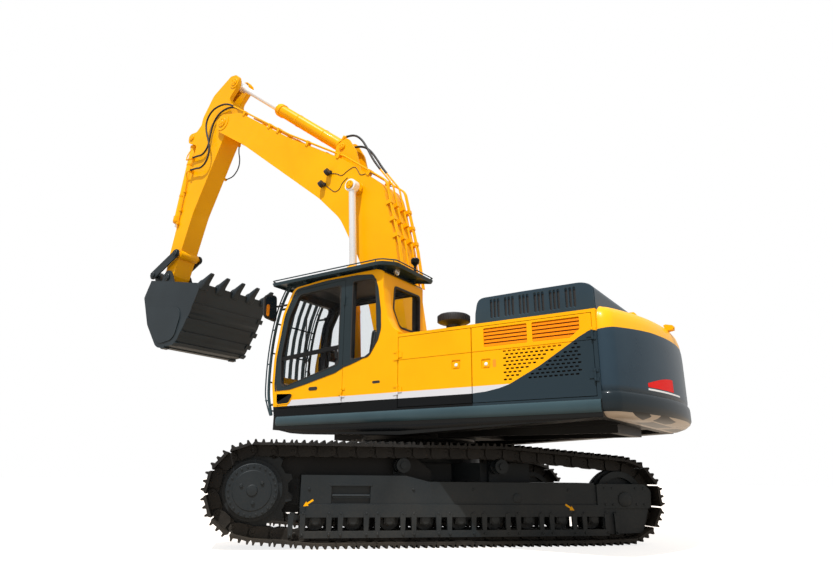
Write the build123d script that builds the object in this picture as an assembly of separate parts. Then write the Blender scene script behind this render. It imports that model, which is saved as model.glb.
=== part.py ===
from build123d import *
import os
from math import atan2, cos, degrees, hypot, pi, radians, sin, tan

# Crawler excavator, millimetres. X forward along the boom, Y to the operator's left, Z up from the ground.
# Every shape is drawn from the slew axis, and save() shifts it to the middle of the whole machine.
slew_x = -1441.5
under_turn = 45.46

# Tracks and their frames, drawn along their own axis with the sprockets at +X
track_gauge = 2740
shoe_width = 600
half_base = 2150
sprocket_z = 580
sprocket_reach = 527
idler_z = 500
idler_reach = 490
shoe_depth = 60
link_depth = 113
pin_depth = 116
link_pitch = 216
rail_in = 52
rail_out = 105
roller_radius = 110
roller_count = 9
first_roller_in = 684
last_roller_in = 392
first_roller = half_base - first_roller_in
last_roller = -half_base + last_roller_in
roller_pitch = (first_roller - last_roller) / (roller_count - 1)
carrier_radius = 80
carrier_places = (494, -679)
track_top = sprocket_z + sprocket_reach
seat_gap = 0.3
rail_top = shoe_depth + link_depth
roller_z = rail_top + seat_gap + roller_radius
carrier_z = track_top - rail_top - seat_gap - carrier_radius
tooth_count = 12
hub_radius = 276
frame_front_in = 510
frame_back_in = 370
frame_front = half_base - frame_front_in
frame_back = -half_base + frame_back_in
frame_half = 215
frame_low = 400
frame_high = 680
frame_skirt = 330
frame_plate = 22
guard_low = 105
guard_high = 175
car_low = 560
car_high = 900
tow_reach = 1000
tow_radius = 32
tow_thick = 70
ring_low = 1000
ring_high = 1180
ring_radius = 800
turn_gap = 0.5

# Revolving deck and house
deck_half = 1475
deck_front = 1335
deck_low = 1300
deck_top = 1470
nose_front = 1150
nose_top = 1330
channel_half = 548
skirt_low = 1190
house_top = 2365
side_reach = 3185
tail_radius = hypot(side_reach, deck_half)
house_back = -side_reach + 125
tool_top = 2010
panel = 40
door_gap = 6
hinge_pin = 6
hinge_knuckle = 12
hinge_out = hinge_knuckle + seat_gap
hinge_leaf = 8
cab_seam = -666
door_seam = -1656
sill_z = 1500
lintel_z = 2325
weight_low = 1300
weight_top = 2435
hood_front = -1480
hood_back = house_back + 130
hood_half = 1050
hood_top = 2790
hood_wall = 40
hood_hinge = (hood_back - 18, house_top + 18)
hood_hinges = (-700, 700)
rear_seam = house_back + 40
door_hinges = (1700, 2110)
hinge_half = 60

# Cab
cab_out = 1475
cab_in = 558
cab_wall = 62
cab_back = -430
cab_floor = deck_top + seat_gap
door_back = 175
door_thick = 56
cab_hinges = (1720, 2900)
glass_thick = 12
glass_gap = 0.3
visor_z = 3347

# Working arm, side view places in X and Z from the slew axis
boom_foot = (207, 2072)
boom_tip = (4626, 7593)
lift_foot = (780, 1500)
lift_head = (1000, 5169)
crowd_foot = (1507, 6171)
crowd_head = (4480, 8540)
tilt_foot = (5780, 7660)
rocker_pin = (5630, 4940)
rocker_head = (6290, 4590)
bucket_pin = (5870, 4490)
link_pin = (6040, 4020)
boom_half = 280
boom_wall = 16
arm_half = 195
arm_wall = 14
pin_radius = 60
small_pin = 48
pin_gap = 0.05
bracket_in = boom_half + 6
bracket_thick = 45
lift_plane = 435
lift_tube = 98
lift_rod = 56
crowd_tube = 112
crowd_rod = 62
tilt_tube = 100
tilt_rod = 55
ear_in = 210
ear_thick = 30
rocker_in = 262
rocker_thick = 30
bucket_half = 800
bucket_plate = 35
# Wear straps as (x0, z0, x1, z1), along the bucket's floor from the lip to the heel
strap_places = ((4196, 3600, 4230, 3522), (4319, 3352, 4366, 3275), (4457, 3130, 4500, 3060),
    (4582, 2948, 4650, 2906), (4850, 2883, 4940, 2877))
tooth_places = (-720, -360, 0, 360, 720)

# Louvres and grille in the rear doors, and slots in the hood
louvre_low = 2105
louvre_high = 2295
louvre_slot = 24
louvre_groups = ((door_seam - 154, door_seam - 664, 4), (door_seam - 724, rear_seam + 130, 5))
grille_front = door_seam - 379
grille_back = rear_seam + 110
grille_low = 1715
grille_rows = 9
grille_row = 38
grille_pitch = 74
grille_slot = (50, 16)
sweep_low = (-2110, 1670)
sweep_high = (-2890, 2100)
sweep_bare = 42
hood_slot = (26, 225)
hood_slot_low = 2520
hood_slot_pitch = 46
hood_slot_groups = ((hood_front - 220, 4), (hood_front - 420, 3), (hood_front - 580, 4),
    (hood_front - 780, 4), (hood_front - 980, 4), (hood_front - 1140, 3))

# Pipes, lamps and hoses
pipe_radius = 15
pipe_lift = 58
pipe_bend = 240
outer_pipes = (236, 278)
inner_pipe = 90
pipe_end = (700, 5530)
hose_radius = 19
loop_radius = 12
lamp_places = ((1606, 5629), (1727, 5437))


# Basic shapes

def box(x0, x1, y0, y1, z0, z1):
    return Pos((x0 + x1) / 2, (y0 + y1) / 2, (z0 + z1) / 2) * Box(x1 - x0, y1 - y0, z1 - z0)


def ring_of(points, lift):
    # A closed loop through corners (a, b) or (a, b, radius), with lift giving each place in space
    corners = [(p[0], p[1], p[2] if len(p) > 2 else 0) for p in points]
    cuts = []
    for i, (a, b, r) in enumerate(corners):
        before = corners[i - 1]
        after = corners[(i + 1) % len(corners)]
        ua, ub = before[0] - a, before[1] - b
        wa, wb = after[0] - a, after[1] - b
        un, wn = hypot(ua, ub), hypot(wa, wb)
        ua, ub, wa, wb = ua / un, ub / un, wa / wn, wb / wn
        if not r:
            cuts.append(((a, b), None, (a, b)))
            continue
        half = radians(degrees(abs(atan2(ua * wb - ub * wa, ua * wa + ub * wb)))) / 2
        reach = r / tan(half)
        ma, mb = ua + wa, ub + wb
        mn = hypot(ma, mb)
        dip = r / sin(half) - r
        middle = (a + ma / mn * dip, b + mb / mn * dip)
        cuts.append(((a + ua * reach, b + ub * reach), middle, (a + wa * reach, b + wb * reach)))
    edges = []
    for i, (start, middle, end) in enumerate(cuts):
        last = cuts[i - 1][2]
        if hypot(last[0] - start[0], last[1] - start[1]) > 0.01:
            edges.append(Line(lift(*last), lift(*start)))
        if middle:
            edges.append(ThreePointArc(lift(*start), lift(*middle), lift(*end)))
    return make_face(Wire(edges))


def side_plate(points, y0, y1):
    # A side-view outline in X and Z, as thick as y0 to y1
    return extrude(ring_of(points, lambda a, b: (a, y0, b)), y1 - y0, (0, 1, 0))


def floor_plate(points, z0, z1):
    # A plan outline in X and Y, from z0 up to z1
    return extrude(ring_of(points, lambda a, b: (a, b, z0)), z1 - z0, (0, 0, 1))


def front_plate(points, x0, x1):
    # A front-view outline in Y and Z, from x0 to x1
    return extrude(ring_of(points, lambda a, b: (x0, a, b)), x1 - x0, (1, 0, 0))


def cross_pin(place, radius, y0, y1):
    return Pos(place[0], (y0 + y1) / 2, place[1]) * Rot(90, 0, 0) * Cylinder(radius, y1 - y0)


def post(x, y, radius, z0, z1):
    return Pos(x, y, (z0 + z1) / 2) * Cylinder(radius, z1 - z0)


def tube_on(start, end, y, radius, near, far):
    # A round bar on the line from start to end, over the stretch near to far from its start
    length = hypot(end[0] - start[0], end[1] - start[1])
    ux, uz = (end[0] - start[0]) / length, (end[1] - start[1]) / length
    origin = (start[0] + ux * near, y, start[1] + uz * near)
    return Solid.make_cylinder(radius, far - near, Plane(origin=origin, z_dir=(ux, 0, uz)))


def gap_between(start, end):
    return hypot(end[0] - start[0], end[1] - start[1])


def hull_of(circles):
    # The tight loop round circles (x, z, radius)
    rings = [Edge.make_circle(r, Plane((x, z, 0))) for x, z, r in circles]
    return make_face(make_hull(rings))


def hull_plate(circles, y0, y1):
    return Pos(0, y1, 0) * Rot(90, 0, 0) * extrude(hull_of(circles), y1 - y0, (0, 0, 1))


def both(shape):
    return shape + mirror(shape, Plane.XZ)


def group(shapes):
    # Several solids that don't touch, kept as one piece
    return Compound([solid for shape in shapes for solid in shape.solids()])


def mirrored(shape):
    return mirror(shape, Plane.XZ)


# Hinges: a pin with two fixed knuckles and their leaves, and a moving knuckle between them

def hinge_fixed(x, y, z, half, leaf_x):
    x0, x1 = sorted((x, x + leaf_x))
    pin = post(x, y, hinge_pin, z - half, z + half)
    for z0, z1 in ((z - half, z - half / 2), (z + half / 2, z + half)):
        pin += post(x, y, hinge_knuckle, z0, z1)
        pin += box(x0, x1, y - hinge_out, y - hinge_out + hinge_leaf, z0, z1)
    return pin


def hinge_moving(x, y, z, half, leaf_x):
    x0, x1 = sorted((x, x + leaf_x))
    reach = half / 2 - seat_gap
    knuckle = post(x, y, hinge_knuckle, z - reach, z + reach)
    knuckle += box(x0, x1, y - hinge_out, y - hinge_out + hinge_leaf, z - reach, z + reach)
    return knuckle - post(x, y, hinge_pin + pin_gap, z - half, z + half)


# Tracks

def track_circles(inset):
    return [
        (half_base, sprocket_z, sprocket_reach - inset),
        (-half_base, idler_z, idler_reach - inset),
        (first_roller, roller_z, roller_z - inset),
        (last_roller, roller_z, roller_z - inset),
        (carrier_places[1], carrier_z, track_top - carrier_z - inset),
    ]


def track_pins():
    # Link pins spread evenly along the tight loop round the wheels, as (x, z), counter-clockwise from the
    # left
    cloud = []
    for x, z, radius in track_circles(pin_depth):
        cloud += [(x + radius * cos(radians(i)), z + radius * sin(radians(i))) for i in range(360)]
    cloud.sort()
    hull = []
    for part in (cloud, cloud[::-1]):
        side = []
        for p in part:
            while len(side) > 1 and turn_of(side[-2], side[-1], p) <= 0:
                side.pop()
            side.append(p)
        hull += side[:-1]
    spans = [hypot(b[0] - a[0], b[1] - a[1]) for a, b in zip(hull, hull[1:] + hull[:1])]
    count = round(sum(spans) / link_pitch)
    step = sum(spans) / count
    pins = []
    walked = 0
    target = step * 0.35
    for a, b, span in zip(hull, hull[1:] + hull[:1], spans):
        while target <= walked + span and len(pins) < count:
            t = (target - walked) / span
            pins.append((a[0] + (b[0] - a[0]) * t, a[1] + (b[1] - a[1]) * t))
            target += step
        walked += span
    return pins


def turn_of(a, b, c):
    return (b[0] - a[0]) * (c[1] - a[1]) - (b[1] - a[1]) * (c[0] - a[0])


def along_links(profile):
    # One outline through every link: profile holds (along, outward) places from the middle of a link
    pins = track_pins()
    loop = []
    for (ax, az), (bx, bz) in zip(pins, pins[1:] + pins[:1]):
        span = hypot(bx - ax, bz - az)
        ux, uz = (bx - ax) / span, (bz - az) / span
        for along, out in profile:
            loop.append(((ax + bx) / 2 + ux * along + uz * out, (az + bz) / 2 + uz * along - ux * out))
    return loop


def track_loop():
    half = shoe_width / 2
    top = pin_depth
    grousers = [(-106, 62), (-88, top), (-70, 71), (-14, 71), (0, top), (14, 71), (70, 71), (88, top)]
    shoes = side_plate(along_links(grousers), -half, half) - side_plate(along_links([(-108, 50)]),
        -half - 1, half + 1)
    links = side_plate(along_links([(-108, 52)]), rail_in, rail_out)
    links -= hull_plate(track_circles(rail_top), rail_in - 1, rail_out + 1)
    return shoes + both(links)


def sprocket():
    root = sprocket_reach - rail_top + 28
    tip = root + 56
    place = (half_base, sprocket_z)
    front = max(track_pins())
    first = degrees(atan2(front[1] - sprocket_z, front[0] - half_base)) + 180 / tooth_count
    wheel = cross_pin(place, root, -40, 40)
    for i in range(tooth_count):
        tooth = side_plate([(root - 20, -62), (tip, -26), (tip, 26), (root - 20, 62)], -40, 40)
        wheel += Pos(half_base, 0, sprocket_z) * Rot(0, -first - 360 / tooth_count * i, 0) * tooth
    wheel += cross_pin(place, hub_radius + 40, -60, 120)
    wheel += cross_pin(place, hub_radius, 120, 262)
    wheel += cross_pin(place, hub_radius - 46, 262, 276)
    wheel += cross_pin(place, 250, -160 + seat_gap, -60)
    return wheel


def idler():
    place = (-half_base, idler_z)
    tread = idler_reach - rail_top - seat_gap
    wheel = cross_pin(place, tread, -125, 125) + cross_pin(place, tread + 26, -45, 45)
    wheel -= both(cross_pin(place, tread - 70, 70, 126))
    wheel += cross_pin(place, 120, -150, 150)
    wheel += cross_pin(place, 60, -170, 170)
    return wheel


def rollers():
    pieces = []
    for i in range(roller_count):
        place = (first_roller - i * roller_pitch, roller_z)
        pieces.append(roller_at(place, roller_radius, 125))
    for x in carrier_places:
        pieces.append(roller_at((x, carrier_z), carrier_radius, 125))
    return group(pieces)


def roller_at(place, radius, half):
    tread = cross_pin(place, radius, -half, half)
    tread -= cross_pin(place, radius + 10, -rail_in + 4, rail_in - 4) - cross_pin(place, radius - 30,
        -rail_in, rail_in)
    return tread + cross_pin(place, 38, -half - 28, half + 28)


def track_frame():
    outer = frame_half
    frame = box(frame_back, frame_front, -outer, outer, frame_low, frame_high)
    frame += side_plate(
        [(220, frame_high), (480, frame_high + 62), (frame_front, frame_high + 62),
        (frame_front, frame_high)], -outer, outer)
    frame += both(box(frame_back, frame_front, outer - frame_plate, outer, frame_skirt, frame_low))
    for i in range(roller_count):
        x = first_roller - i * roller_pitch
        foot = box(x - 62, x + 62, outer - 62, outer - frame_plate, 238, frame_low)
        frame += both(foot - cross_pin((x, roller_z), 38 + pin_gap, 0, outer))
    for x in carrier_places:
        stand = box(x - 70, x + 70, -outer, -outer + 60, frame_high - 5, carrier_z + 70)
        frame += stand - cross_pin((x, carrier_z), 38 + pin_gap, -outer - 1, outer)
    # Final drive carrier at one end, idler yoke at the other
    frame += box(frame_front - 5, half_base, -outer, -160, frame_low + 20, frame_high + 20)
    frame += cross_pin((half_base, sprocket_z), 255, -outer - 20, -160)
    for side in (-1, 1):
        y0, y1 = sorted((side * 172, side * outer))
        arm = side_plate(
            [(frame_back + 5, 390), (frame_back + 5, 660), (-2380, 660, 60), (-2460, 560, 60),
            (-2380, 390, 40)], y0, y1)
        frame += arm - cross_pin((-half_base, idler_z), 60 + pin_gap, -outer - 1, outer + 1)
    frame -= box(880, 1310, outer - 34, outer + 1, 450, 648)
    # Stone guards along the rollers, hung on paired brackets
    guard = box(last_roller - 160, first_roller + 160, outer, outer + 22, guard_low, guard_high)
    for i in range(1, roller_count):
        middle = first_roller - (i - 0.5) * roller_pitch
        for offset in (-62, 62):
            guard += box(middle + offset - 24, middle + offset + 24, outer - 4, outer + 16, guard_low + 10,
                frame_low - 20)
    guard += box(first_roller + 115, first_roller + 160, outer - 4, outer + 16, guard_low + 10,
        frame_low - 20)
    block = side_plate([(frame_back - 80, 180, 30), (frame_back - 80, frame_low + 5),
        (-half_base - 290, frame_low + 5),
                        (-half_base - 270, 270, 30), (-half_base - 180, 190, 40),
                        (frame_back - 170, 120, 30)], outer - 35, outer - 3)
    return frame + both(guard + block)


def place_side(shape, side):
    # The left track carries its final drive cover outward, and the right one is its mirror image
    turned = shape if side > 0 else mirror(shape, Plane.XZ)
    return Rot(0, 0, under_turn) * Pos(0, side * track_gauge / 2, 0) * turned


def car_body():
    half = track_gauge / 2 - frame_half
    quarter = [(1150, half), (520, half), (260, 780)]
    mirror_x = [(-x, y) for x, y in reversed(quarter)]
    upper = quarter + mirror_x + [(-840, 300)]
    lower = [(-x, -y) for x, y in upper]
    body = floor_plate(upper + lower, car_low, car_high)
    body += post(0, 0, ring_radius + 40, car_high - 5, ring_low)
    body -= post(0, 0, 300, car_low - 1, ring_low + 1)
    body -= post(0, 0, ring_radius - 60, car_low - 1, car_high - 60) - post(0, 0, 340, car_low - 2,
        car_high)
    for side in (-1, 1):
        x0, x1 = sorted((side * 800, side * (tow_reach + 80)))
        body += box(x0, x1, -120, 120, car_low + 60, car_low + 60 + tow_thick)
        body -= post(side * tow_reach, 0, tow_radius, car_low + 50, car_low + 70 + tow_thick)
    return Rot(0, 0, under_turn) * body


def slew_ring():
    return post(0, 0, ring_radius, ring_low, ring_high) - post(0, 0, ring_radius - 150, ring_low - 1,
        ring_high + 1)


# Revolving frame and house

def main_frame():
    half = deck_half
    deck = box(house_back, deck_front, -half, half, deck_low, deck_top)
    deck -= box(560, deck_front + 1, -channel_half, channel_half, nose_top, deck_top + 1)
    deck -= box(nose_front, deck_front + 1, -channel_half, channel_half, deck_low - 1, deck_top)
    skirt = side_plate([(1300, deck_low + 5), (1020, 1250), (-700, skirt_low), (house_back, deck_low),
        (house_back, 1400), (1300, 1400)],
                       half - 260, half - 12)
    deck += skirt + mirrored(skirt)
    deck += box(-2900, nose_front - 40, -480, 480, skirt_low + 20, deck_low + 5)
    # Open bays under the deck, between the side beams and the middle
    for x0, x1 in ((-2960, -1100), (900, 1240)):
        bay = box(x0, x1, 520, half - 290, deck_low - 200, deck_top - 30)
        deck -= bay + mirrored(bay)
    deck -= box(-2800, -1100, -440, 440, skirt_low - 1, deck_top - 30)
    deck += post(0, 0, ring_radius - 20, ring_high + turn_gap, deck_low)
    frame = deck + both(boom_bracket())
    frame += cross_pin(boom_foot, pin_radius, -bracket_in - bracket_thick - 12,
        bracket_in + bracket_thick + 12)
    return frame


def boom_bracket():
    outline = [(boom_foot[0], boom_foot[1], 205), (lift_foot[0], lift_foot[1], 132),
        (-330, nose_top + 60, 50), (820, nose_top, 45)]
    plate = hull_plate(outline, bracket_in, bracket_in + bracket_thick)
    outer = bracket_in + bracket_thick
    plate += cross_pin(lift_foot, 50, outer - 1, lift_plane + 90)
    plate += cross_pin(lift_foot, 72, lift_plane + 90, lift_plane + 102)
    return plate


def weight_layer(grow, z0, z1):
    # Straight sides, an arc swung about the slew axis, and round corners between them
    half = deck_half + grow
    reach = tail_radius + grow
    corner_x = (reach ** 2 - half ** 2) ** 0.5
    turn = radians(90) - atan2(half, corner_x)
    straight = corner_x + house_back - seat_gap
    layer = post(0, 0, reach, z0, z1) & box(-tail_radius - 50, house_back - seat_gap, -half, half, z0, z1)
    corners = layer.edges().filter_by(Axis.Z).sort_by(Axis.X)[0:2]
    return fillet(corners, min(120, 0.9 * straight / tan(turn / 2)))


def counterweight():
    # Lower band with its ridge, the tall side set back a little, and the crown stepping in to the top
    layers = ((-22, weight_low, 1325), (0, 1320, 1520), (-38, 1515, 1568), (-24, 1563, 2180),
        (-42, 2175, 2330),
              (-80, 2325, 2390), (-150, 2385, weight_top))
    body = weight_layer(*layers[0])
    for layer in layers[1:]:
        body += weight_layer(*layer)
    return body + lifting_eye(-1) + lifting_eye(1)


def lifting_eye(side):
    back = -tail_radius + 180
    plate = [(back, weight_top - 20), (back + 200, weight_top - 20), (back + 160, weight_top + 95, 45),
        (back + 40, weight_top + 95, 45)]
    eye = Pos(0, side * 620, 0) * side_plate(plate, -22, 22)
    return eye - cross_pin((back + 100, weight_top + 45), 30, side * 620 - 30, side * 620 + 30)


def side_door(x_front, x_back):
    return box(x_back + door_gap, x_front - door_gap, deck_half - panel, deck_half, sill_z, lintel_z)


def front_door():
    door = side_door(cab_seam, door_seam)
    for z in door_hinges:
        door += hinge_moving(cab_seam - door_gap / 2, deck_half + hinge_out, z, hinge_half, -60)
    return door


def louvres():
    # Level slots between slats, in two groups
    cuts = []
    for front, back, count in louvre_groups:
        pitch = (louvre_high - louvre_low - louvre_slot) / (count - 1)
        for i in range(count):
            z = louvre_low + i * pitch
            cuts.append(box(back, front, deck_half - panel - 1, deck_half + 1, z, z + louvre_slot))
    return cuts


def grille():
    # Short staggered slots, with a bare strip where the paint's sweep crosses them
    long, high = grille_slot
    slope = (sweep_high[1] - sweep_low[1]) / (sweep_high[0] - sweep_low[0])
    cuts = []
    for row in range(grille_rows):
        z = grille_low + row * grille_row
        x = grille_front - (row % 2) * grille_pitch / 2
        while x - long > grille_back:
            line = sweep_low[1] + (x - long / 2 - sweep_low[0]) * slope
            if abs(z + high / 2 - line) > sweep_bare:
                cuts.append(box(x - long, x, deck_half - panel - 1, deck_half + 1, z, z + high))
            x -= grille_pitch
    return cuts


def rear_door():
    door = side_door(door_seam, rear_seam)
    door -= louvres() + grille()
    for z in door_hinges:
        door += hinge_moving(rear_seam + door_gap / 2, deck_half + hinge_out, z, hinge_half, 60)
    return door


def house_panels():
    head = lintel_z + door_gap
    side = deck_half - panel - 5
    shell = box(house_back, cab_back - 45, -deck_half, deck_half, head, house_top)
    shell -= box(hood_back + 90, hood_front - 90, -hood_half + 90, hood_half - 90, head - 1, house_top + 1)
    shell += box(cab_back - 45, cab_back - 8, -deck_half, side, deck_top, house_top)
    shell += box(cab_seam, cab_back - 8, deck_half - panel, deck_half, deck_top, house_top)
    shell += box(door_seam, cab_back - 8, side - 90, deck_half, deck_top, sill_z - door_gap)
    shell += both(box(house_back, door_seam + 40, side - 90, deck_half, deck_top, sill_z - door_gap))
    shell += both(box(door_seam - 40, door_seam + 40, side - 90, side, deck_top, head + 1))
    shell += both(box(house_back, rear_seam, side - 90, deck_half, deck_top, head + 1))
    shell += box(-1760, -1730, -side + 60, side - 60, deck_top, head + 1)
    for z in door_hinges:
        shell += hinge_fixed(cab_seam - door_gap / 2, deck_half + hinge_out, z, hinge_half, 60)
        shell += both(hinge_fixed(rear_seam + door_gap / 2, deck_half + hinge_out, z, hinge_half, -34))
    for y in hood_hinges:
        shell += Pos(0, y, 0) * lid_hinge_fixed()
    return shell


# The hood's hinges lie along Y behind it

def lid_hinge_fixed():
    pin = cross_pin(hood_hinge, hinge_pin, -60, 60)
    for y0, y1 in ((-60, -30), (30, 60)):
        pin += cross_pin(hood_hinge, hinge_knuckle, y0, y1)
        pin += box(hood_hinge[0] - hinge_knuckle, hood_hinge[0], y0, y1, house_top - 1, hood_hinge[1])
    return pin


def lid_hinge_moving():
    knuckle = cross_pin(hood_hinge, hinge_knuckle, -30 + seat_gap, 30 - seat_gap)
    knuckle += box(hood_hinge[0], hood_back + 5, -30 + seat_gap, 30 - seat_gap, hood_hinge[1] - 8,
        hood_hinge[1] + hinge_knuckle)
    return knuckle - cross_pin(hood_hinge, hinge_pin + pin_gap, -61, 61)


def engine_hood():
    half = hood_half
    low = house_top + 5
    outer = front_plate([(-half, low), (half, low), (half - 40, hood_top, 110),
        (-half + 40, hood_top, 110)],
                        hood_back, hood_front)
    inner = front_plate([(-half + hood_wall, low - 2), (half - hood_wall, low - 2),
                         (half - 40 - hood_wall, hood_top - hood_wall, 90),
                         (-half + 40 + hood_wall, hood_top - hood_wall, 90)],
                        hood_back + hood_wall, hood_front - hood_wall)
    hood = outer - inner
    wide, tall = hood_slot
    slots = []
    for start, count in hood_slot_groups:
        for i in range(count):
            x = start - i * hood_slot_pitch
            slots += [box(x - wide / 2, x + wide / 2, y - 60, y + 60, hood_slot_low,
                hood_slot_low + tall) for y in (-half + 20, half - 20)]
    hood -= slots
    for y in hood_hinges:
        hood += Pos(0, y, 0) * lid_hinge_moving()
    return hood


def engine_block():
    return box(-2760, -1960, -650, 620, deck_top, 2200)


def tanks():
    fuel = tank_box(cab_back - 8 + seat_gap, 200, deck_half, house_top)
    oil = tank_box(door_seam + 40 + seat_gap, cab_back - 45 - seat_gap, deck_half,
        lintel_z + door_gap - seat_gap)
    return group([fuel, oil])


def tank_box(x0, x1, outer, top):
    wall = 14
    inner = channel_half + 20
    tank = box(x0, x1, -outer, -inner, deck_top, top)
    return tank - box(x0 + wall, x1 - wall, -outer + wall, -inner - wall, deck_top - 1, top - wall)


def tool_box():
    return tank_box(260, 1290, deck_half, tool_top)


def precleaner():
    body = post(-1110, 900, 92, house_top, 2560)
    return body + post(-1110, 900, 200, 2560, 2690)


def exhaust():
    y = -deck_half + 235
    return post(-2350, y, 75, house_top, 2700) - post(-2350, y, 66, 2500, 2701)


# Cab

def cab_profile(inset):
    t = inset
    return [(1335 - t, cab_floor + t), (1405 - t, 1900, 300), (1400 - t, 2250, 600), (1290 - t, 2860, 500),
            (1110 - t * 0.8, 3215 - t, 160), (600, 3252 - t), (cab_back + 110, 3248 - t),
            (cab_back + t, 3215 - t, 60),
            (cab_back + t, cab_floor + t)]


def door_outline(inset):
    t = inset
    return [(door_back + t, 1570 + t, 30), (1275 - t, 1570 + t, 30), (1335 - t, 1900, 300),
        (1330 - t, 2250, 600),
            (1225 - t, 2830, 500), (1040 - t, 3165 - t, 120), (door_back + t, 3190 - t, 30)]


def door_window_outline(inset):
    t = inset
    return [(door_back + 70 + t, 2075 + t, 60), (1245 - t, 1830 + t, 90), (1275 - t, 2250, 600),
        (1170 - t, 2800, 500),
            (1000 - t, 3110 - t, 90), (door_back + 70 + t, 3130 - t, 50)]


def rear_side_window(inset):
    t = inset
    return [(-365 + t, 2330 + t, 90), (-230, 2130 + t, 120), (60 - t, 2110 + t, 30),
        (60 - t, 3150 - t, 30), (-320 + t, 3140 - t, 60)]


def right_window(inset):
    t = inset
    return [(-300 + t, 2080 + t, 60), (1240 - t, 2080 + t, 60), (1180 - t, 2800, 300),
        (1020 - t, 3120 - t, 80), (-300 + t, 3120 - t, 60)]


def rear_window(inset):
    t = inset
    return [(640 + t, 2545 + t, 60), (1100, 2545 + t, 120), (1250 - t, 2760, 60), (1225 - t, 3060 - t, 60),
        (640 + t, 3060 - t, 60)]


def screen_outline(inset, low, high):
    t = inset
    return [(cab_in + 85 + t, low + t, 60), (cab_out - 85 - t, low + t, 60),
        (cab_out - 85 - t, high - t, 60), (cab_in + 85 + t, high - t, 60)]


def cab_space():
    return side_plate(cab_profile(cab_wall), cab_in + cab_wall, cab_out - cab_wall)


def cab_shell():
    shell = side_plate(cab_profile(0), cab_in, cab_out) - cab_space()
    shell -= side_plate(door_outline(0), cab_out - cab_wall - 5, cab_out + 5)
    shell -= side_plate(rear_side_window(0), cab_out - cab_wall - 5, cab_out + 5)
    shell -= side_plate(right_window(0), cab_in - 5, cab_in + cab_wall + 5)
    shell -= front_plate(rear_window(0), cab_back - 5, cab_back + cab_wall + 5)
    shell -= front_plate(screen_outline(0, 2010, 3090), 1050, 1500)
    shell -= front_plate(screen_outline(0, 1600, 1930), 1150, 1500)
    for z in cab_hinges:
        shell += hinge_fixed(door_back + door_gap / 2, cab_out + hinge_out, z, hinge_half, -50)
    return shell


def screen_glass(low, high):
    band = side_plate(cab_profile(20), cab_in + 5, cab_out - 5) - side_plate(cab_profile(20 + glass_thick),
        cab_in, cab_out)
    return band & front_plate(screen_outline(glass_gap, low, high), 1000, 1500)


def cab_windows():
    middle = cab_wall / 2
    panes = [
        side_plate(rear_side_window(glass_gap), cab_out - middle - glass_thick, cab_out - middle),
        side_plate(right_window(glass_gap), cab_in + middle, cab_in + middle + glass_thick),
        front_plate(rear_window(glass_gap), cab_back + middle, cab_back + middle + glass_thick),
        screen_glass(2010, 3090),
        screen_glass(1600, 1930),
    ]
    return group(panes)


def cab_door():
    door = side_plate(door_outline(door_gap), cab_out - door_thick, cab_out)
    door -= side_plate(door_window_outline(0), cab_out - door_thick - 5, cab_out + 5)
    door += side_plate([(1300, 2229), (1300, 2259), (door_back + 58, 2330), (door_back + 58, 2300)],
        cab_out - 21, cab_out - 2)
    for z in cab_hinges:
        door += hinge_moving(door_back + door_gap / 2, cab_out + hinge_out, z, hinge_half, 50)
    return door


def door_window():
    return side_plate(door_window_outline(glass_gap), cab_out - 34, cab_out - 34 + glass_thick)


def roof_visor():
    roof = floor_plate([(-440, 580, 40), (1430, 580, 80), (1430, 1560, 80), (-440, 1560, 40)],
        visor_z - 28, visor_z)
    feet = [box(x - 30, x + 30, y - 20, y + 20, 3240, visor_z - 20) for x in (-300, 900) for y in (700,
        1380)]
    feet = [foot - side_plate(cab_profile(0), cab_in, cab_out) for foot in feet]
    return roof + feet[0] + feet[1] + feet[2] + feet[3]


def front_guard():
    outer = [(1440, 1500), (1520, 1900, 300), (1510, 2250, 600), (1400, 2870, 500), (1180, 3290)]
    bars = None
    bar = 14
    for i in range(7):
        y = cab_in + 70 + i * (cab_out - cab_in - 140) / 6
        path = [(a - bar, b, r[0] if r else 0) for a, b, *r in outer] + [(a + bar, b,
            r[0] if r else 0) for a, b, *r in reversed(outer)]
        piece = side_plate(path, y - bar, y + bar)
        bars = piece if bars is None else bars + piece
    for z, x in ((1560, 1448), (1950, 1518), (2350, 1496), (2760, 1420)):
        bars += box(x - bar, x + bar, cab_in + 60, cab_out - 60, z - bar, z + bar)
    for z, x in ((1640, 1380), (2960, 1290)):
        for y in (cab_in + 90, cab_out - 90):
            bars += box(x - 90, x + 110, y - 12, y + 12, z - 12, z + 12) - side_plate(cab_profile(0),
                cab_in, cab_out)
    return bars


def operator_seat():
    cushion = box(-60, 470, 760, 1260, 1850, 1980)
    back = side_plate([(-60, 1960), (80, 1960), (-40, 2640, 40), (-160, 2640, 40)], 780, 1240)
    stand = box(40, 400, 850, 1170, cab_floor + cab_wall, 1860)
    sides = box(-60, 560, 650, 745, cab_floor + cab_wall, 2080) + box(-60, 560, 1275, 1360,
        cab_floor + cab_wall, 2080)
    joined = box(40, 400, 740, 1280, cab_floor + cab_wall, cab_floor + cab_wall + 60)
    return cushion + back + stand + sides + joined


def mirrors():
    arm = box(1180, 1460, 1440, 1464, 2990, 3014) - side_plate(cab_profile(-seat_gap), cab_in, cab_out)
    head = front_plate([(1448, 2770, 60), (1720, 2800, 70), (1740, 3130, 70), (1448, 3160, 60)], 1430, 1466)
    return arm + head


def beacon():
    return post(-350, 900, 16, visor_z, 3480) + post(-350, 900, 60, 3480, 3560)


def handrails():
    # A rail along the tool box, on two legs
    y0, y1 = -deck_half + 35, -deck_half + 63
    low = tool_top + seat_gap
    high = tool_top + 390
    rail = box(300, 1240, y0, y1, high, high + 28)
    legs = box(300, 328, y0, y1, low, high + 10) + box(1212, 1240, y0, y1, low, high + 10)
    return rail + legs


# Working arm

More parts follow.
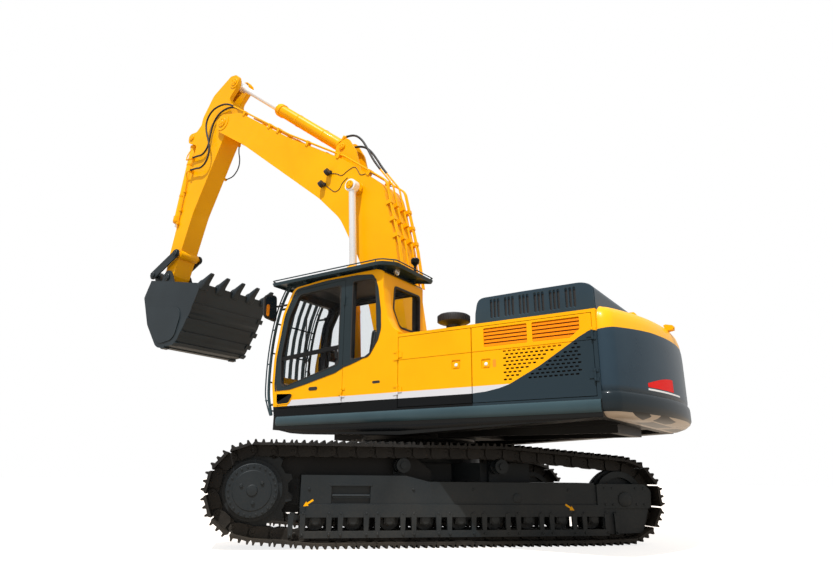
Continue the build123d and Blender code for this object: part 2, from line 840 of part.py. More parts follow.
def boom_outline(inset):
    t = inset
    return [
        (boom_foot[0] - 190 + t, boom_foot[1] - 60, 120), (boom_foot[0] + 190 - t, boom_foot[1] - 110, 150),
        (900 - t, 3900, 1500), (1362 - t, 4740, 900), (1850 - t * 0.6, 5220 + t, 1500),
        (3920, 6870 + t * 1.3, 300),
        (boom_tip[0] + 130 - t, boom_tip[1] - 160, 120), (boom_tip[0] + 40 - t, boom_tip[1] + 200 - t, 160),
        (4100, 7640 - t * 1.2, 300), (2650, 6620 - t * 1.2, 2000), (1310, 5790 - t * 1.2, 500),
        (500 + t, 5130 - t, 500),
        (240 + t, 4100, 1200), (boom_foot[0] - 195 + t, 2700, 600),
    ]


def boom():
    beam = side_plate(boom_outline(0), -boom_half, boom_half)
    space = side_plate(boom_outline(boom_wall), -boom_half + boom_wall, boom_half - boom_wall)
    solid_ends = both(cross_pin(boom_foot, 215, -1, boom_half)) + cross_pin(boom_tip, 620, -boom_half,
        boom_half)
    solid_ends += cross_pin(lift_head, 150, -boom_half, boom_half)
    beam -= space - solid_ends
    # Fork for the arm at the tip
    beam -= cross_pin(boom_tip, 590, -boom_half + 50, boom_half - 50)
    beam -= cross_pin(boom_foot, pin_radius + pin_gap, -boom_half - 1, boom_half + 1)
    beam += both(cross_pin(lift_head, 105, boom_half - 1, boom_half + 36))
    beam += cross_pin(boom_tip, pin_radius, -boom_half - 14, boom_half + 14)
    beam += both(cross_pin(boom_tip, 175, boom_half - 52, boom_half + 12))
    hump = side_plate([(1080, 5560), (1700, 5960), (1640, 6240, 90), (1400, 6330, 110), (1200, 6000, 200)],
        92, 132)
    beam += both(hump)
    beam += cross_pin(crowd_foot, small_pin, -140, 140)
    x, y, z = loop_hose[0]
    beam += box(x - 22, x + 22, y - 22, y + 22, z + seat_gap, z + 100)
    return beam


def cylinder_tube(foot, head, y, radius, bore, far, eye_half, pin):
    eye = cross_pin(foot, pin + 55, y - eye_half, y + eye_half)
    tube = tube_on(foot, head, y, radius, 150, far)
    neck = tube_on(foot, head, y, min(radius, eye_half) - 6, 30, 160)
    gland = tube_on(foot, head, y, radius + 8, far - 130, far)
    body = eye + tube + neck + gland
    body -= tube_on(foot, head, y, bore + pin_gap, 260, far + 10)
    return body - cross_pin(foot, pin + pin_gap, y - eye_half - 5, y + eye_half + 5)


def crowd_ports():
    # Two oil ports on the arm cylinder's base, where its hoses start
    length = gap_between(crowd_foot, crowd_head)
    ux, uz = (crowd_head[0] - crowd_foot[0]) / length, (crowd_head[1] - crowd_foot[1]) / length
    x, y, z = hump_hoses[0][0]
    upright = (crowd_foot[0] + ux * 170, crowd_foot[1] + uz * 170)
    top = (upright[0] - uz * 168, upright[1] + ux * 168)
    port = tube_on(upright, top, y, 30, 80, 185) + tube_on((x, z), (x + 100, z), y, 24, seat_gap,
        top[0] - x)
    x, y, z = hump_hoses[1][0]
    return port + tube_on((x, z), (x + 100, z), y, 24, seat_gap, 60)


def cylinder_rod(foot, head, y, bore, inside, eye_half, pin):
    length = gap_between(foot, head)
    rod = tube_on(foot, head, y, bore, inside, length - pin)
    eye = cross_pin(head, pin + 55, y - eye_half, y + eye_half)
    return rod + eye


def arm_outline(inset):
    t = inset
    return [
        (4440 + t, 7600, 60), (4600 + t, 8200, 120), (4390 + t, 8430, 60), (4390 + t, 8700 - t, 120),
        (4620, 8740 - t, 100),
        (5120 - t, 8440 - t, 250), (5400 - t, 8000, 300), (5560 - t, 7100, 600), (5770 - t, 5900, 600),
        (5960 - t, 4960, 300),
        (6010 - t, 4480, 120), (5860, 4340 + t, 120), (5750 + t, 4500, 100), (5350 + t, 5800, 900),
        (4620 + t, 7350, 250),
    ]


def arm():
    beam = side_plate(arm_outline(0), -arm_half, arm_half)
    space = side_plate(arm_outline(arm_wall), -arm_half + arm_wall, arm_half - arm_wall)
    keep = cross_pin(boom_tip, 190, -arm_half, arm_half) + cross_pin(rocker_pin, 100, -arm_half, arm_half)
    keep += cross_pin(bucket_pin, 165, -arm_half, arm_half)
    beam -= space - keep
    beam += cross_pin(boom_tip, 185, -arm_half - 22, arm_half + 22)
    beam -= cross_pin(boom_tip, pin_radius + pin_gap, -arm_half - 30, arm_half + 30)
    # Slot between the ears at the top, clear of the rod's eye
    slot = cross_pin(crowd_head, 385, -105, 105) + box(4000, crowd_head[0], -105, 105, 8170, 8900)
    beam -= slot
    beam += both(cross_pin(crowd_head, 130, arm_half - 1, arm_half + 16))
    ears = side_plate([(5480, 7250), (5380, 8000), (5640, 7760, 90), (5900, 7770, 90), (5880, 7560, 90),
        (5640, 7450, 90)], 108, 140)
    beam += both(ears) + cross_pin(tilt_foot, small_pin, -146, 146)
    beam += cross_pin(rocker_pin, small_pin, -rocker_in - rocker_thick - 14, rocker_in + rocker_thick + 14)
    beam += cross_pin(rocker_pin, 90, -arm_half - 12, arm_half + 12)
    beam += cross_pin(bucket_pin, small_pin + 6, -ear_in - ear_thick - 10, ear_in + ear_thick + 10)
    # Fittings where the hoses from the boom end
    for route in (upper_hose, lower_hose):
        x, y, z = route[-1]
        beam += box(x + seat_gap, x + 60, arm_half - 5, y + 26, z - 26, z + 26)
    x, y, z = lower_hose[-1]
    beam += Pos(x + 115, y, z) * Rot(0, 90, 0) * Cylinder(20, 120)
    x, y, z = loop_hose[-1]
    beam += box(x + seat_gap, x + 50, y - 20, -arm_half + 5, z - 20, z + 20)
    return beam


def rocker():
    plate = hull_plate([(*rocker_pin, 88), (*rocker_head, 88)], rocker_in, rocker_in + rocker_thick)
    plate -= cross_pin(rocker_pin, small_pin + pin_gap, rocker_in - 5, rocker_in + rocker_thick + 5)
    plate += cross_pin(rocker_head, small_pin, 98, rocker_in + 1)
    plate += cross_pin(rocker_head, 62, rocker_in + rocker_thick, rocker_in + rocker_thick + 10)
    return plate + mirrored(plate)


def bucket_link():
    side = hull_plate([(*rocker_head, 86), (*link_pin, 86)], 96, 184)
    side -= cross_pin(rocker_head, small_pin + pin_gap, 90, 190)
    lower = cross_pin(link_pin, 80, -184, 184)
    return both(side) + lower


def bucket_outline(inset):
    t = inset
    return [(4050 + t * 0.9, 3935), (4270 + t, 3430, 300), (4600 + t * 0.6, 2900 + t, 260),
        (5110, 2865 + t, 260),
            (5480 - t, 3350, 300), (5690 - t, 3900, 70), (5530 - t * 0.8, 4215)]


def bucket():
    shell = side_plate(bucket_outline(0), -bucket_half, bucket_half)
    space = side_plate(bucket_outline(bucket_plate), -bucket_half + bucket_plate,
        bucket_half - bucket_plate)
    mouth = side_plate([(4083, 3920), (5496, 4190), (5496, 4500), (4083, 4300)],
        -bucket_half + bucket_plate, bucket_half - bucket_plate)
    shell -= space + mouth
    ears = hull_plate([(*bucket_pin, 140), (*link_pin, 128), (5560, 4120, 30), (5600, 3560, 20)], ear_in,
        ear_in + ear_thick)
    ears -= cross_pin(bucket_pin, small_pin + 6 + pin_gap, ear_in - 5, ear_in + ear_thick + 5)
    shell += both(ears)
    return shell + bucket_wear()


def bucket_wear():
    # Straps across the floor, shrouds on both lower corners, and a plate over each side's lower half
    straps = []
    for x0, z0, x1, z1 in strap_places:
        ux, uz = (x1 - x0) / gap_between((x0, z0), (x1, z1)), (z1 - z0) / gap_between((x0, z0), (x1, z1))
        for y0, y1, thick in ((-bucket_half + 60, bucket_half - 60, 16),
            (bucket_half - 90, bucket_half + 30, 34), (-bucket_half - 30, -bucket_half + 90, 34)):
            loop = [(x0 - uz * 6, z0 + ux * 6), (x1 - uz * 6, z1 + ux * 6),
                (x1 + uz * thick, z1 - ux * thick), (x0 + uz * thick, z0 - ux * thick)]
            straps.append(side_plate(loop, y0, y1))
    plate = [(4470, 3560, 200), (4640, 2990, 220), (5080, 2950, 220), (5400, 3380, 300), (5560, 3700, 60),
        (5130, 3640, 300)]
    side = side_plate(plate, bucket_half - 1, bucket_half + 16)
    wear = side + mirrored(side)
    for strap in straps:
        wear += strap
    return wear - side_plate(bucket_outline(bucket_plate), -bucket_half + bucket_plate,
        bucket_half - bucket_plate)


def boom_pipes():
    # Steel oil pipes along the boom's top and down its back, on small clamps
    outline = [(x, z) for x, z, *rest in boom_outline(-pipe_lift)]
    tip, crown, shoulder, nape, back, foot = outline[8:14]
    end = between(back, foot, 0.45)
    last = {outer_pipes[0]: beyond(crown, tip, 98), outer_pipes[1]: beyond(crown, tip, 281)}
    pipes = []
    for y in outer_pipes:
        pipes.append(bent_tube([(x, y, z) for x, z in (last[y], crown, shoulder, nape, back, end)],
            pipe_radius, pipe_bend))
    inner_start = beyond(nape, pipe_end, -0.5)
    pipes.append(bent_tube([(x, inner_pipe, z) for x, z in (inner_start, nape, back, end)], pipe_radius,
        pipe_bend))
    y0, y1 = outer_pipes[0] - 18, outer_pipes[1] + 18
    clamps = [pipe_clamp(tip, crown, share, y0, y1) for share in (0.10, 0.62, 0.79)]
    clamps += [pipe_clamp(crown, shoulder, share, y0, y1) for share in (0.35, 0.9)]
    clamps += [pipe_clamp(shoulder, nape, 0.62, y0, y1)]
    for y0, y1 in ((y0, y1), (inner_pipe - 30, inner_pipe + 30)):
        clamps += [pipe_clamp(nape, back, share, y0, y1) for share in (0.35, 0.62, 0.88)]
        clamps += [pipe_clamp(back, foot, 0.35, y0, y1)]
    solid = side_plate(boom_outline(-seat_gap), -boom_half - seat_gap, boom_half + seat_gap)
    body = pipes[0] + pipes[1] + pipes[2]
    for clamp in clamps:
        body += clamp - solid
    return group([body, mirrored(body)])


def pipe_clamp(start, end, share, y0, y1):
    # A block from inside the boom's skin up round the pipes, square to their run
    x, z = between(start, end, share)
    length = gap_between(start, end)
    ux, uz = (end[0] - start[0]) / length, (end[1] - start[1]) / length
    low, high = pipe_lift + 20, pipe_radius + 6
    loop = [(x - ux * 32 - uz * low, z - uz * 32 + ux * low),
        (x + ux * 32 - uz * low, z + uz * 32 + ux * low),
            (x + ux * 32 + uz * high, z + uz * 32 - ux * high),
            (x - ux * 32 + uz * high, z - uz * 32 - ux * high)]
    return side_plate(loop, y0, y1)


def between(start, end, share):
    return (start[0] + (end[0] - start[0]) * share, start[1] + (end[1] - start[1]) * share)


def beyond(start, end, more):
    length = gap_between(start, end)
    return between(start, end, 1 + more / length)


def bent_tube(points, radius, bend):
    # Straight runs joined by tangent arcs
    path = FilletPolyline(*points, radius=bend)
    return sweep(Plane(origin=path @ 0, z_dir=path % 0) * Circle(radius), path)


def work_lamps():
    # Two lamps on each side of the boom, on short brackets
    lamps = []
    for x, z in lamp_places:
        y = boom_half + seat_gap
        body = box(x - 26, x + 26, y, y + 40, z - 26, z + 26) + Pos(x + 30, y + 62, z) * Rot(0, 115,
            0) * Cylinder(58, 70)
        lamps += [body, mirrored(body)]
    return group(lamps)


# Hoses, as routes of (x, y, z) places

upper_hose = [
    (4330, 278, 7872), (4494, 278, 7987), (4740, 286, 8040), (5000, 296, 7990), (5140, 304, 7760),
    (5075, 306, 7470),
    (4960, 304, 7230), (4920, 300, 6990), (4985, 296, 6790), (5150, 290, 6700), (5330, 284, 6745),
    (5480, 284, 6745),
]
lower_hose = [
    (4180, 236, 7767), (4330, 236, 7872), (4540, 236, 7935), (4790, 238, 7910), (4960, 242, 7740),
    (5020, 244, 7500),
    (5030, 246, 7290), (5080, 248, 7130), (5215, 250, 7030), (5370, 250, 7055), (5500, 250, 7055),
]
loop_hose = [
    (4690, -255, 7300), (4690, -255, 7170), (4625, -255, 6990), (4635, -255, 6790), (4760, -255, 6650),
    (4880, -255, 6620),
    (4990, -255, 6620),
]
hump_hoses = [
    [(1480, 50, 6394), (1330, 50, 6394), (1140, 62, 6240), (985, 78, 5990), (838, 90, 5714),
    (700, 90, 5530)],
    [(1385, -10, 6171), (1235, -10, 6171), (1040, -35, 6060), (905, -70, 5850), (790, -90, 5650),
    (700, -90, 5530)],
]


def hose(points, radius):
    # Each arc is as large as its two runs allow; the radii are printed
    corners = [Vector(*p) for p in points]
    radii = []
    for before, here, after in zip(corners, corners[1:], corners[2:]):
        shorter = min((here - before).length, (after - here).length)
        half_turn = radians((here - before).get_angle(after - here)) / 2
        radii.append(0.45 * shorter / tan(half_turn))
    print("hose radii", [round(r) for r in radii])
    path = FilletPolyline(*points, radius=radii)
    tube = sweep(Plane(origin=path @ 0, z_dir=path % 0) * Circle(radius), path)
    section = pi * radius ** 2
    print("hose length", round(path.length), "volume against section times length",
        round(tube.volume / (section * path.length), 4))
    return tube


def bucket_teeth():
    teeth = []
    for y in tooth_places:
        tooth = hull_plate([(4085, 3915, 66), (3862, 4100, 14)], y - 55, y + 55)
        teeth.append(tooth - side_plate(bucket_outline(-seat_gap), -bucket_half, bucket_half))
    return group(teeth)


def save(name, shape):
    placed = Pos(slew_x, 0, 0) * shape
    export_step(placed, "parts/" + name + ".step")


def build():
    os.makedirs("parts", exist_ok=True)
    save("boom_pipes", boom_pipes())
    save("work_lamps", work_lamps())
    save("jumper_hose_upper", hose(upper_hose, hose_radius))
    save("jumper_hose_lower", hose(lower_hose, hose_radius))
    save("jumper_hose_loop", hose(loop_hose, loop_radius))
    save("hump_hose_left", hose(hump_hoses[0], hose_radius))
    save("hump_hose_right", hose(hump_hoses[1], hose_radius))
    for side, word in ((1, "left"), (-1, "right")):
        save("track_loop_" + word, place_side(track_loop(), side))
        save("sprocket_" + word, place_side(sprocket(), side))
        save("idler_" + word, place_side(idler(), side))
        save("rollers_" + word, place_side(rollers(), side))
        save("track_frame_" + word, place_side(track_frame(), side))
    save("car_body", car_body())
    save("slew_ring", slew_ring())
    save("main_frame", main_frame())
    save("counterweight", counterweight())
    save("house_panels", house_panels())
    save("side_door_left_front", front_door())
    save("side_door_left_rear", rear_door())
    save("side_door_right_rear", mirrored(rear_door()))
    save("engine_hood", engine_hood())
    save("engine_block", engine_block())
    save("tanks", tanks())
    save("tool_box", tool_box())
    save("precleaner", precleaner())
    save("exhaust", exhaust())
    save("handrails", handrails())
    save("cab_shell", cab_shell())
    save("cab_windows", cab_windows())
    save("cab_door", cab_door())
    save("door_window", door_window())
    save("roof_visor", roof_visor())
    save("front_guard", front_guard())
    save("operator_seat", operator_seat())
    save("mirrors", mirrors())
    save("beacon", beacon())
    save("boom", boom())
    lift_far = 2420
    barrel = cylinder_tube(lift_foot, lift_head, lift_plane, lift_tube, lift_rod, lift_far - 150, 75, 50)
    rod = cylinder_rod(lift_foot, lift_head, lift_plane, lift_rod, 1410, 62, small_pin)
    rod += cross_pin(lift_head, small_pin, lift_plane - 100, lift_plane + 70)
    save("boom_cylinder_left", barrel)
    save("boom_cylinder_right", mirrored(barrel))
    save("boom_rod_left", rod)
    save("boom_rod_right", mirrored(rod))
    save("arm_cylinder", cylinder_tube(crowd_foot, crowd_head, 0, crowd_tube, crowd_rod, 2250, 84,
        small_pin) + crowd_ports())
    save("arm_rod", cylinder_rod(crowd_foot, crowd_head, 0, crowd_rod, 1600, 90, small_pin))
    save("arm", arm())
    save("bucket_cylinder", cylinder_tube(tilt_foot, rocker_head, 0, tilt_tube, tilt_rod, 1900, 84,
        small_pin))
    save("bucket_rod", cylinder_rod(tilt_foot, rocker_head, 0, tilt_rod, 1290, 78, small_pin))
    save("rocker", rocker())
    save("bucket_link", bucket_link())
    save("bucket", bucket())
    save("bucket_teeth", bucket_teeth())


build()
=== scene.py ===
import bpy
import bmesh
from math import atan2, cos, hypot, pi, radians, sin
from mathutils import Matrix, Vector


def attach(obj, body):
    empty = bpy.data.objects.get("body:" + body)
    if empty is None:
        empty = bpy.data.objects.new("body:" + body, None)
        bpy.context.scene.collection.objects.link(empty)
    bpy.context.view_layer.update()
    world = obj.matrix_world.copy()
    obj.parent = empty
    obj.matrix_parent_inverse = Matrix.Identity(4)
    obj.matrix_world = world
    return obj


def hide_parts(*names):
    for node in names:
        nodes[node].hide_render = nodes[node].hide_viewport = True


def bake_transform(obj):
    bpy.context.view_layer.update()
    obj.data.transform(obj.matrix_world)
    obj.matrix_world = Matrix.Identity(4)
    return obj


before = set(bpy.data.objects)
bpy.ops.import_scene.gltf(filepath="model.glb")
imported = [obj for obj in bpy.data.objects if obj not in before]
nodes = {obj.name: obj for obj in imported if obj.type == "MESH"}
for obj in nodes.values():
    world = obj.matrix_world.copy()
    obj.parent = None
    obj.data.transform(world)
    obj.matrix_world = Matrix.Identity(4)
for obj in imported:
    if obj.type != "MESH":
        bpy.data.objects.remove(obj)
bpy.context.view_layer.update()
print("frame loaded,", len(nodes), "nodes")

# Places are in metres from the slew axis, X forward, Y to the operator's left, Z up.
# The house matrix shifts them into the shared frame, and the track matrices also turn them.
slewX = -1.4415
underTurn = radians(45.46)
houseAt = Matrix.Translation((slewX, 0, 0))
underAt = houseAt @ Matrix.Rotation(underTurn, 4, "Z")
rightSide = houseAt @ Matrix.Diagonal((1, -1, 1, 1))
sides = ((1, "left"), (-1, "right"))

camera = {
    "place": (-4.948 + slewX, 7.618, 0.761),
    "forward": (0.5347, -0.7893, 0.3019),
    "up": (-0.1609, 0.2556, 0.9533),
    "lens": 27.36,
    "shift": (0.0114, -0.0197),
}


def linked(name, data):
    piece = bpy.data.objects.new(name, data)
    bpy.context.scene.collection.objects.link(piece)
    return piece


def setCamera(values):
    data = bpy.data.cameras.new("photoCamera")
    data.lens = values["lens"]
    data.sensor_width = 36
    data.shift_x, data.shift_y = values["shift"]
    data.clip_end = 200
    eye = linked("photoCamera", data)
    forward = Vector(values["forward"]).normalized()
    right = forward.cross(Vector(values["up"])).normalized()
    up = right.cross(forward)
    turn = Matrix((right, up, -forward)).transposed().to_4x4()
    eye.matrix_world = Matrix.Translation(values["place"]) @ turn
    bpy.context.scene.camera = eye


setCamera(camera)

# Shape helpers

def addBox(shape, low, high, matrix=None):
    corners = [(x, y, z) for x in (low[0], high[0]) for y in (low[1], high[1]) for z in (low[2], high[2])]
    points = [shape.verts.new(matrix @ Vector(c) if matrix else c) for c in corners]
    for a, b, c, d in ((0, 1, 3, 2), (4, 6, 7, 5), (0, 4, 5, 1), (2, 3, 7, 6), (0, 2, 6, 4), (1, 5, 7, 3)):
        shape.faces.new((points[a], points[b], points[c], points[d]))


def addLoft(shape, rings, closed=True, capped=True):
    # Skin over rings of points that have the same number of points each
    made = [[shape.verts.new(p) for p in ring] for ring in rings]
    count = len(made[0])
    for one, two in zip(made, made[1:]):
        for i in range(count if closed else count - 1):
            j = (i + 1) % count
            shape.faces.new((one[i], one[j], two[j], two[i]))
    if capped:
        shape.faces.new(list(reversed(made[0])))
        shape.faces.new(made[-1])


def addSlab(shape, loop, low, high, across="y"):
    # A loop of (a, b) places, thick from low to high: across y it lies in X and Z, across z in X and Y
    lift = {"y": lambda a, b, t: (a, t, b), "z": lambda a, b, t: (a, b, t), "x": lambda a, b, t: (t, a, b)}[across]
    addLoft(shape, [[lift(a, b, low) for a, b in loop], [lift(a, b, high) for a, b in loop]])


def ringAround(centre, direction, radius, sides, turn=0.0):
    direction = Vector(direction).normalized()
    side = direction.orthogonal().normalized()
    other = direction.cross(side)
    centre = Vector(centre)
    return [centre + (side * cos(turn + 2 * pi * i / sides) + other * sin(turn + 2 * pi * i / sides)) * radius
            for i in range(sides)]


def addTurned(shape, start, direction, profile, sides=28):
    # A turned piece: profile is (along, radius) from start in the direction given
    direction = Vector(direction).normalized()
    rings = [ringAround(Vector(start) + direction * along, direction, max(radius, 0.0004), sides)
             for along, radius in profile]
    addLoft(shape, rings)


def addRod(shape, start, end, radius, sides=16):
    span = Vector(end) - Vector(start)
    addTurned(shape, start, span, [(0, radius), (span.length, radius)], sides)


def addBolt(shape, place, direction, size):
    # Washer, hexagon head and its rounded top
    addTurned(shape, place, direction, [(0, size * 1.25), (size * 0.18, size * 1.2)], 16)
    addTurned(shape, place, direction, [(size * 0.18, size), (size * 0.8, size), (size * 0.95, size * 0.86)], 6)


def addBoltRing(shape, centre, direction, radius, count, size, turn=0.0, across=(1, 0, 0), up=(0, 0, 1)):
    for i in range(count):
        angle = 2 * pi * i / count + turn
        spot = Vector(centre) + (Vector(across) * cos(angle) + Vector(up) * sin(angle)) * radius
        addBolt(shape, spot, direction, size)


def roundedLoop(points, steps=5):
    # Corners (a, b) or (a, b, radius), the rounded ones as short arcs
    loop = []
    count = len(points)
    for i, point in enumerate(points):
        a, b = point[0], point[1]
        radius = point[2] if len(point) > 2 else 0
        if not radius:
            loop.append((a, b))
            continue
        before = Vector(points[i - 1][:2]) - Vector((a, b))
        after = Vector(points[(i + 1) % count][:2]) - Vector((a, b))
        half = before.angle(after) / 2
        reach = min(radius / abs(sin(half)) * cos(half), before.length * 0.49, after.length * 0.49)
        start = Vector((a, b)) + before.normalized() * reach
        end = Vector((a, b)) + after.normalized() * reach
        for step in range(steps + 1):
            t = step / steps
            spot = start * (1 - t) ** 2 + Vector((a, b)) * 2 * t * (1 - t) + end * t ** 2
            loop.append((spot.x, spot.y))
    return loop


def squareLoop(x0, x1, z0, z1, radius=0.0, steps=4):
    return roundedLoop([(x0, z0, radius), (x1, z0, radius), (x1, z1, radius), (x0, z1, radius)], steps)


def insetLoop(corners, amount):
    # Corners (a, b, radius, da, db), where da and db tell which way the corner moves as the loop shrinks
    return roundedLoop([(a + da * amount, b + db * amount, radius) for a, b, radius, da, db in corners])


def pulledIn(loop, amount):
    # Each point of the loop moves by the same amount to the middle
    middle = Vector((sum(a for a, b in loop) / len(loop), sum(b for a, b in loop) / len(loop)))
    return [tuple(Vector(p) + (middle - Vector(p)).normalized() * amount) for p in loop]


def areaOf(loop):
    return sum(a[0] * b[1] - b[0] * a[1] for a, b in zip(loop, loop[1:] + loop[:1])) / 2


def curveMesh(data):
    holder = bpy.data.objects.new("curve", data)
    mesh = bpy.data.meshes.new_from_object(holder)
    bpy.data.objects.remove(holder)
    mesh.materials.clear()
    return mesh


def plateMesh(outer, holes, low, high, edge=0.002, across="y"):
    # A flat plate with holes and softly rounded edges; outer and holes are loops of (a, b)
    data = bpy.data.curves.new("plate", "CURVE")
    data.dimensions = "2D"
    data.fill_mode = "BOTH"
    data.extrude = (high - low) / 2 - edge
    data.bevel_depth = edge
    data.bevel_resolution = 1
    data.offset = -edge
    for loop, sign in [(outer, 1)] + [(hole, -1) for hole in holes]:
        if areaOf(loop) * sign < 0:
            loop = loop[::-1]
        spline = data.splines.new("POLY")
        spline.points.add(len(loop) - 1)
        for point, (a, b) in zip(spline.points, loop):
            point.co = (a, b, 0, 1)
        spline.use_cyclic_u = True
    mesh = curveMesh(data)
    middle = (low + high) / 2
    turn = {"y": Matrix(((1, 0, 0, 0), (0, 0, -1, middle), (0, 1, 0, 0), (0, 0, 0, 1))),
            "x": Matrix(((0, 0, 1, middle), (1, 0, 0, 0), (0, 1, 0, 0), (0, 0, 0, 1)))}[across]
    mesh.transform(turn)
    return mesh


def tubeMesh(runs, radius, smooth=True, sides=3, steps=6):
    # Round tubes along runs of places, bent smoothly or with straight runs
    data = bpy.data.curves.new("tube", "CURVE")
    data.dimensions = "3D"
    data.bevel_depth = radius
    data.bevel_resolution = sides
    data.resolution_u = steps
    data.use_fill_caps = radius > 0
    for run in runs:
        spline = data.splines.new("NURBS" if smooth else "POLY")
        spline.points.add(len(run) - 1)
        for point, place in zip(spline.points, run):
            point.co = (*place, 1)
        if smooth:
            spline.order_u = 3
            spline.use_endpoint_u = True
    return curveMesh(data)


def joinMeshes(meshes):
    shape = bmesh.new()
    for mesh in meshes:
        shape.from_mesh(mesh)
        bpy.data.meshes.remove(mesh)
    return toMesh(shape, False)


def toMesh(shape, fixNormals=True):
    if fixNormals:
        bmesh.ops.recalc_face_normals(shape, faces=shape.faces)
    mesh = bpy.data.meshes.new("piece")
    shape.to_mesh(mesh)
    shape.free()
    return mesh


def softenEdges(piece, width):
    bevel = piece.modifiers.new("softEdges", "BEVEL")
    bevel.width = width
    bevel.segments = 2
    bevel.limit_method = "ANGLE"
    bevel.angle_limit = radians(38)
    bevel.use_clamp_overlap = True
    bevel.harden_normals = True


def addPiece(name, mesh, material, body, matrix=houseAt, soft=0.0, smooth=35, replaced=()):
    if isinstance(mesh, bmesh.types.BMesh):
        mesh = toMesh(mesh)
    mesh.transform(matrix)
    if matrix.determinant() < 0:
        mesh.flip_normals()
    mesh.materials.append(materials[material])
    mesh.polygons.foreach_set("use_smooth", [True] * len(mesh.polygons))
    mesh.set_sharp_from_angle(angle=radians(smooth))
    piece = linked(name, mesh)
    if soft:
        softenEdges(piece, soft)
    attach(piece, body)
    if replaced:
        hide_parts(*replaced)
    return piece


# Hoses between the boom and the arm, and from the arm cylinder to the boom's pipes
# Each one is a fixed tube along its route between the two bodies that it joins

hoses = {
    "jumperUpper": {"node": "jumper_hose_upper", "radius": 0.019, "length": 2.473, "bodies": ("boom", "arm"),
        "places": [(4.33, 0.278, 7.872), (4.494, 0.278, 7.987), (4.74, 0.286, 8.04), (5.0, 0.296, 7.99),
        (5.14, 0.304, 7.76), (5.075, 0.306, 7.47), (4.96, 0.304, 7.23), (4.92, 0.3, 6.99), (4.985, 0.296, 6.79),
        (5.15, 0.29, 6.7), (5.33, 0.284, 6.745), (5.48, 0.284, 6.745)]},
    "jumperLower": {"node": "jumper_hose_lower", "radius": 0.019, "length": 1.942, "bodies": ("boom", "arm"),
        "places": [(4.18, 0.236, 7.767), (4.33, 0.236, 7.872), (4.54, 0.236, 7.935), (4.79, 0.238, 7.91),
        (4.96, 0.242, 7.74), (5.02, 0.244, 7.5), (5.03, 0.246, 7.29), (5.08, 0.248, 7.13), (5.215, 0.25, 7.03),
        (5.37, 0.25, 7.055), (5.5, 0.25, 7.055)]},
    "jumperLoop": {"node": "jumper_hose_loop", "radius": 0.012, "length": 0.929, "bodies": ("boom", "arm"),
        "places": [(4.69, -0.255, 7.3), (4.69, -0.255, 7.17), (4.625, -0.255, 6.99), (4.635, -0.255, 6.79),
        (4.76, -0.255, 6.65), (4.88, -0.255, 6.62), (4.99, -0.255, 6.62)]},
    "humpLeft": {"node": "hump_hose_left", "radius": 0.019, "length": 1.225, "bodies": ("crowd_tube", "boom"),
        "places": [(1.48, 0.05, 6.394), (1.33, 0.05, 6.394), (1.14, 0.062, 6.24), (0.985, 0.078, 5.99),
        (0.838, 0.09, 5.714), (0.7, 0.09, 5.53)]},
    "humpRight": {"node": "hump_hose_right", "radius": 0.019, "length": 1.002, "bodies": ("crowd_tube", "boom"),
        "places": [(1.385, -0.01, 6.171), (1.235, -0.01, 6.171), (1.04, -0.035, 6.06), (0.905, -0.07, 5.85),
        (0.79, -0.09, 5.65), (0.7, -0.09, 5.53)]},
}


def makeHose(name, values):
    places = [(x + slewX, y, z) for x, y, z in values["places"]]
    path = [tuple(v.co) for v in tubeMesh([places], 0, steps=8).vertices]
    mesh = tubeMesh([places], values["radius"], sides=4, steps=8)
    mesh.polygons.foreach_set("use_smooth", [True] * len(mesh.polygons))
    piece = linked(name, mesh)
    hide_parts(values["node"])
    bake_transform(piece)
    return piece


hosePieces = [makeHose(name, values) for name, values in hoses.items()]
print("hoses laid:", len(hosePieces))


# Shader helpers

def addNode(tree, kind, **values):
    node = tree.nodes.new(kind)
    for name, value in values.items():
        setattr(node, name, value)
    return node


def feed(tree, socket, value):
    # A link where the value comes from a node, and a constant otherwise
    if hasattr(value, "links"):
        tree.links.new(value, socket)
    else:
        socket.default_value = value


def mathNode(tree, operation, first, second=None, clamp=False):
    node = addNode(tree, "ShaderNodeMath", operation=operation, use_clamp=clamp)
    feed(tree, node.inputs[0], first)
    if second is not None:
        feed(tree, node.inputs[1], second)
    return node.outputs[0]


def times(tree, first, *others):
    for value in others:
        first = mathNode(tree, "MULTIPLY", first, value)
    return first


def plus(tree, first, second):
    return mathNode(tree, "ADD", first, second)


def minus(tree, first, second):
    return mathNode(tree, "SUBTRACT", first, second)


def isOver(tree, value, limit):
    return mathNode(tree, "GREATER_THAN", value, limit)


def isUnder(tree, value, limit):
    return mathNode(tree, "LESS_THAN", value, limit)


def insideBox(tree, places, box):
    tests = []
    for place, (least, most) in zip(places, box):
        tests += [isOver(tree, place, least), isUnder(tree, place, most)]
    return times(tree, *tests)


def objectPlace(tree):
    return addNode(tree, "ShaderNodeTexCoord").outputs["Object"]


def axesOf(tree, vector):
    split = addNode(tree, "ShaderNodeSeparateXYZ")
    tree.links.new(vector, split.inputs[0])
    return [split.outputs[axis] for axis in "XYZ"]


def machineAxes(tree):
    # Object coordinates with X counted from the slew axis
    x, y, z = axesOf(tree, objectPlace(tree))
    return minus(tree, x, slewX), y, z


def newGroup(name, inputs, outputs):
    group = bpy.data.node_groups.new(name, "ShaderNodeTree")
    for label, value in inputs:
        socket = group.interface.new_socket(label, in_out="INPUT", socket_type="NodeSocketFloat")
        socket.default_value = value
    for label in outputs:
        group.interface.new_socket(label, in_out="OUTPUT", socket_type="NodeSocketFloat")
    return group, addNode(group, "NodeGroupInput"), addNode(group, "NodeGroupOutput")


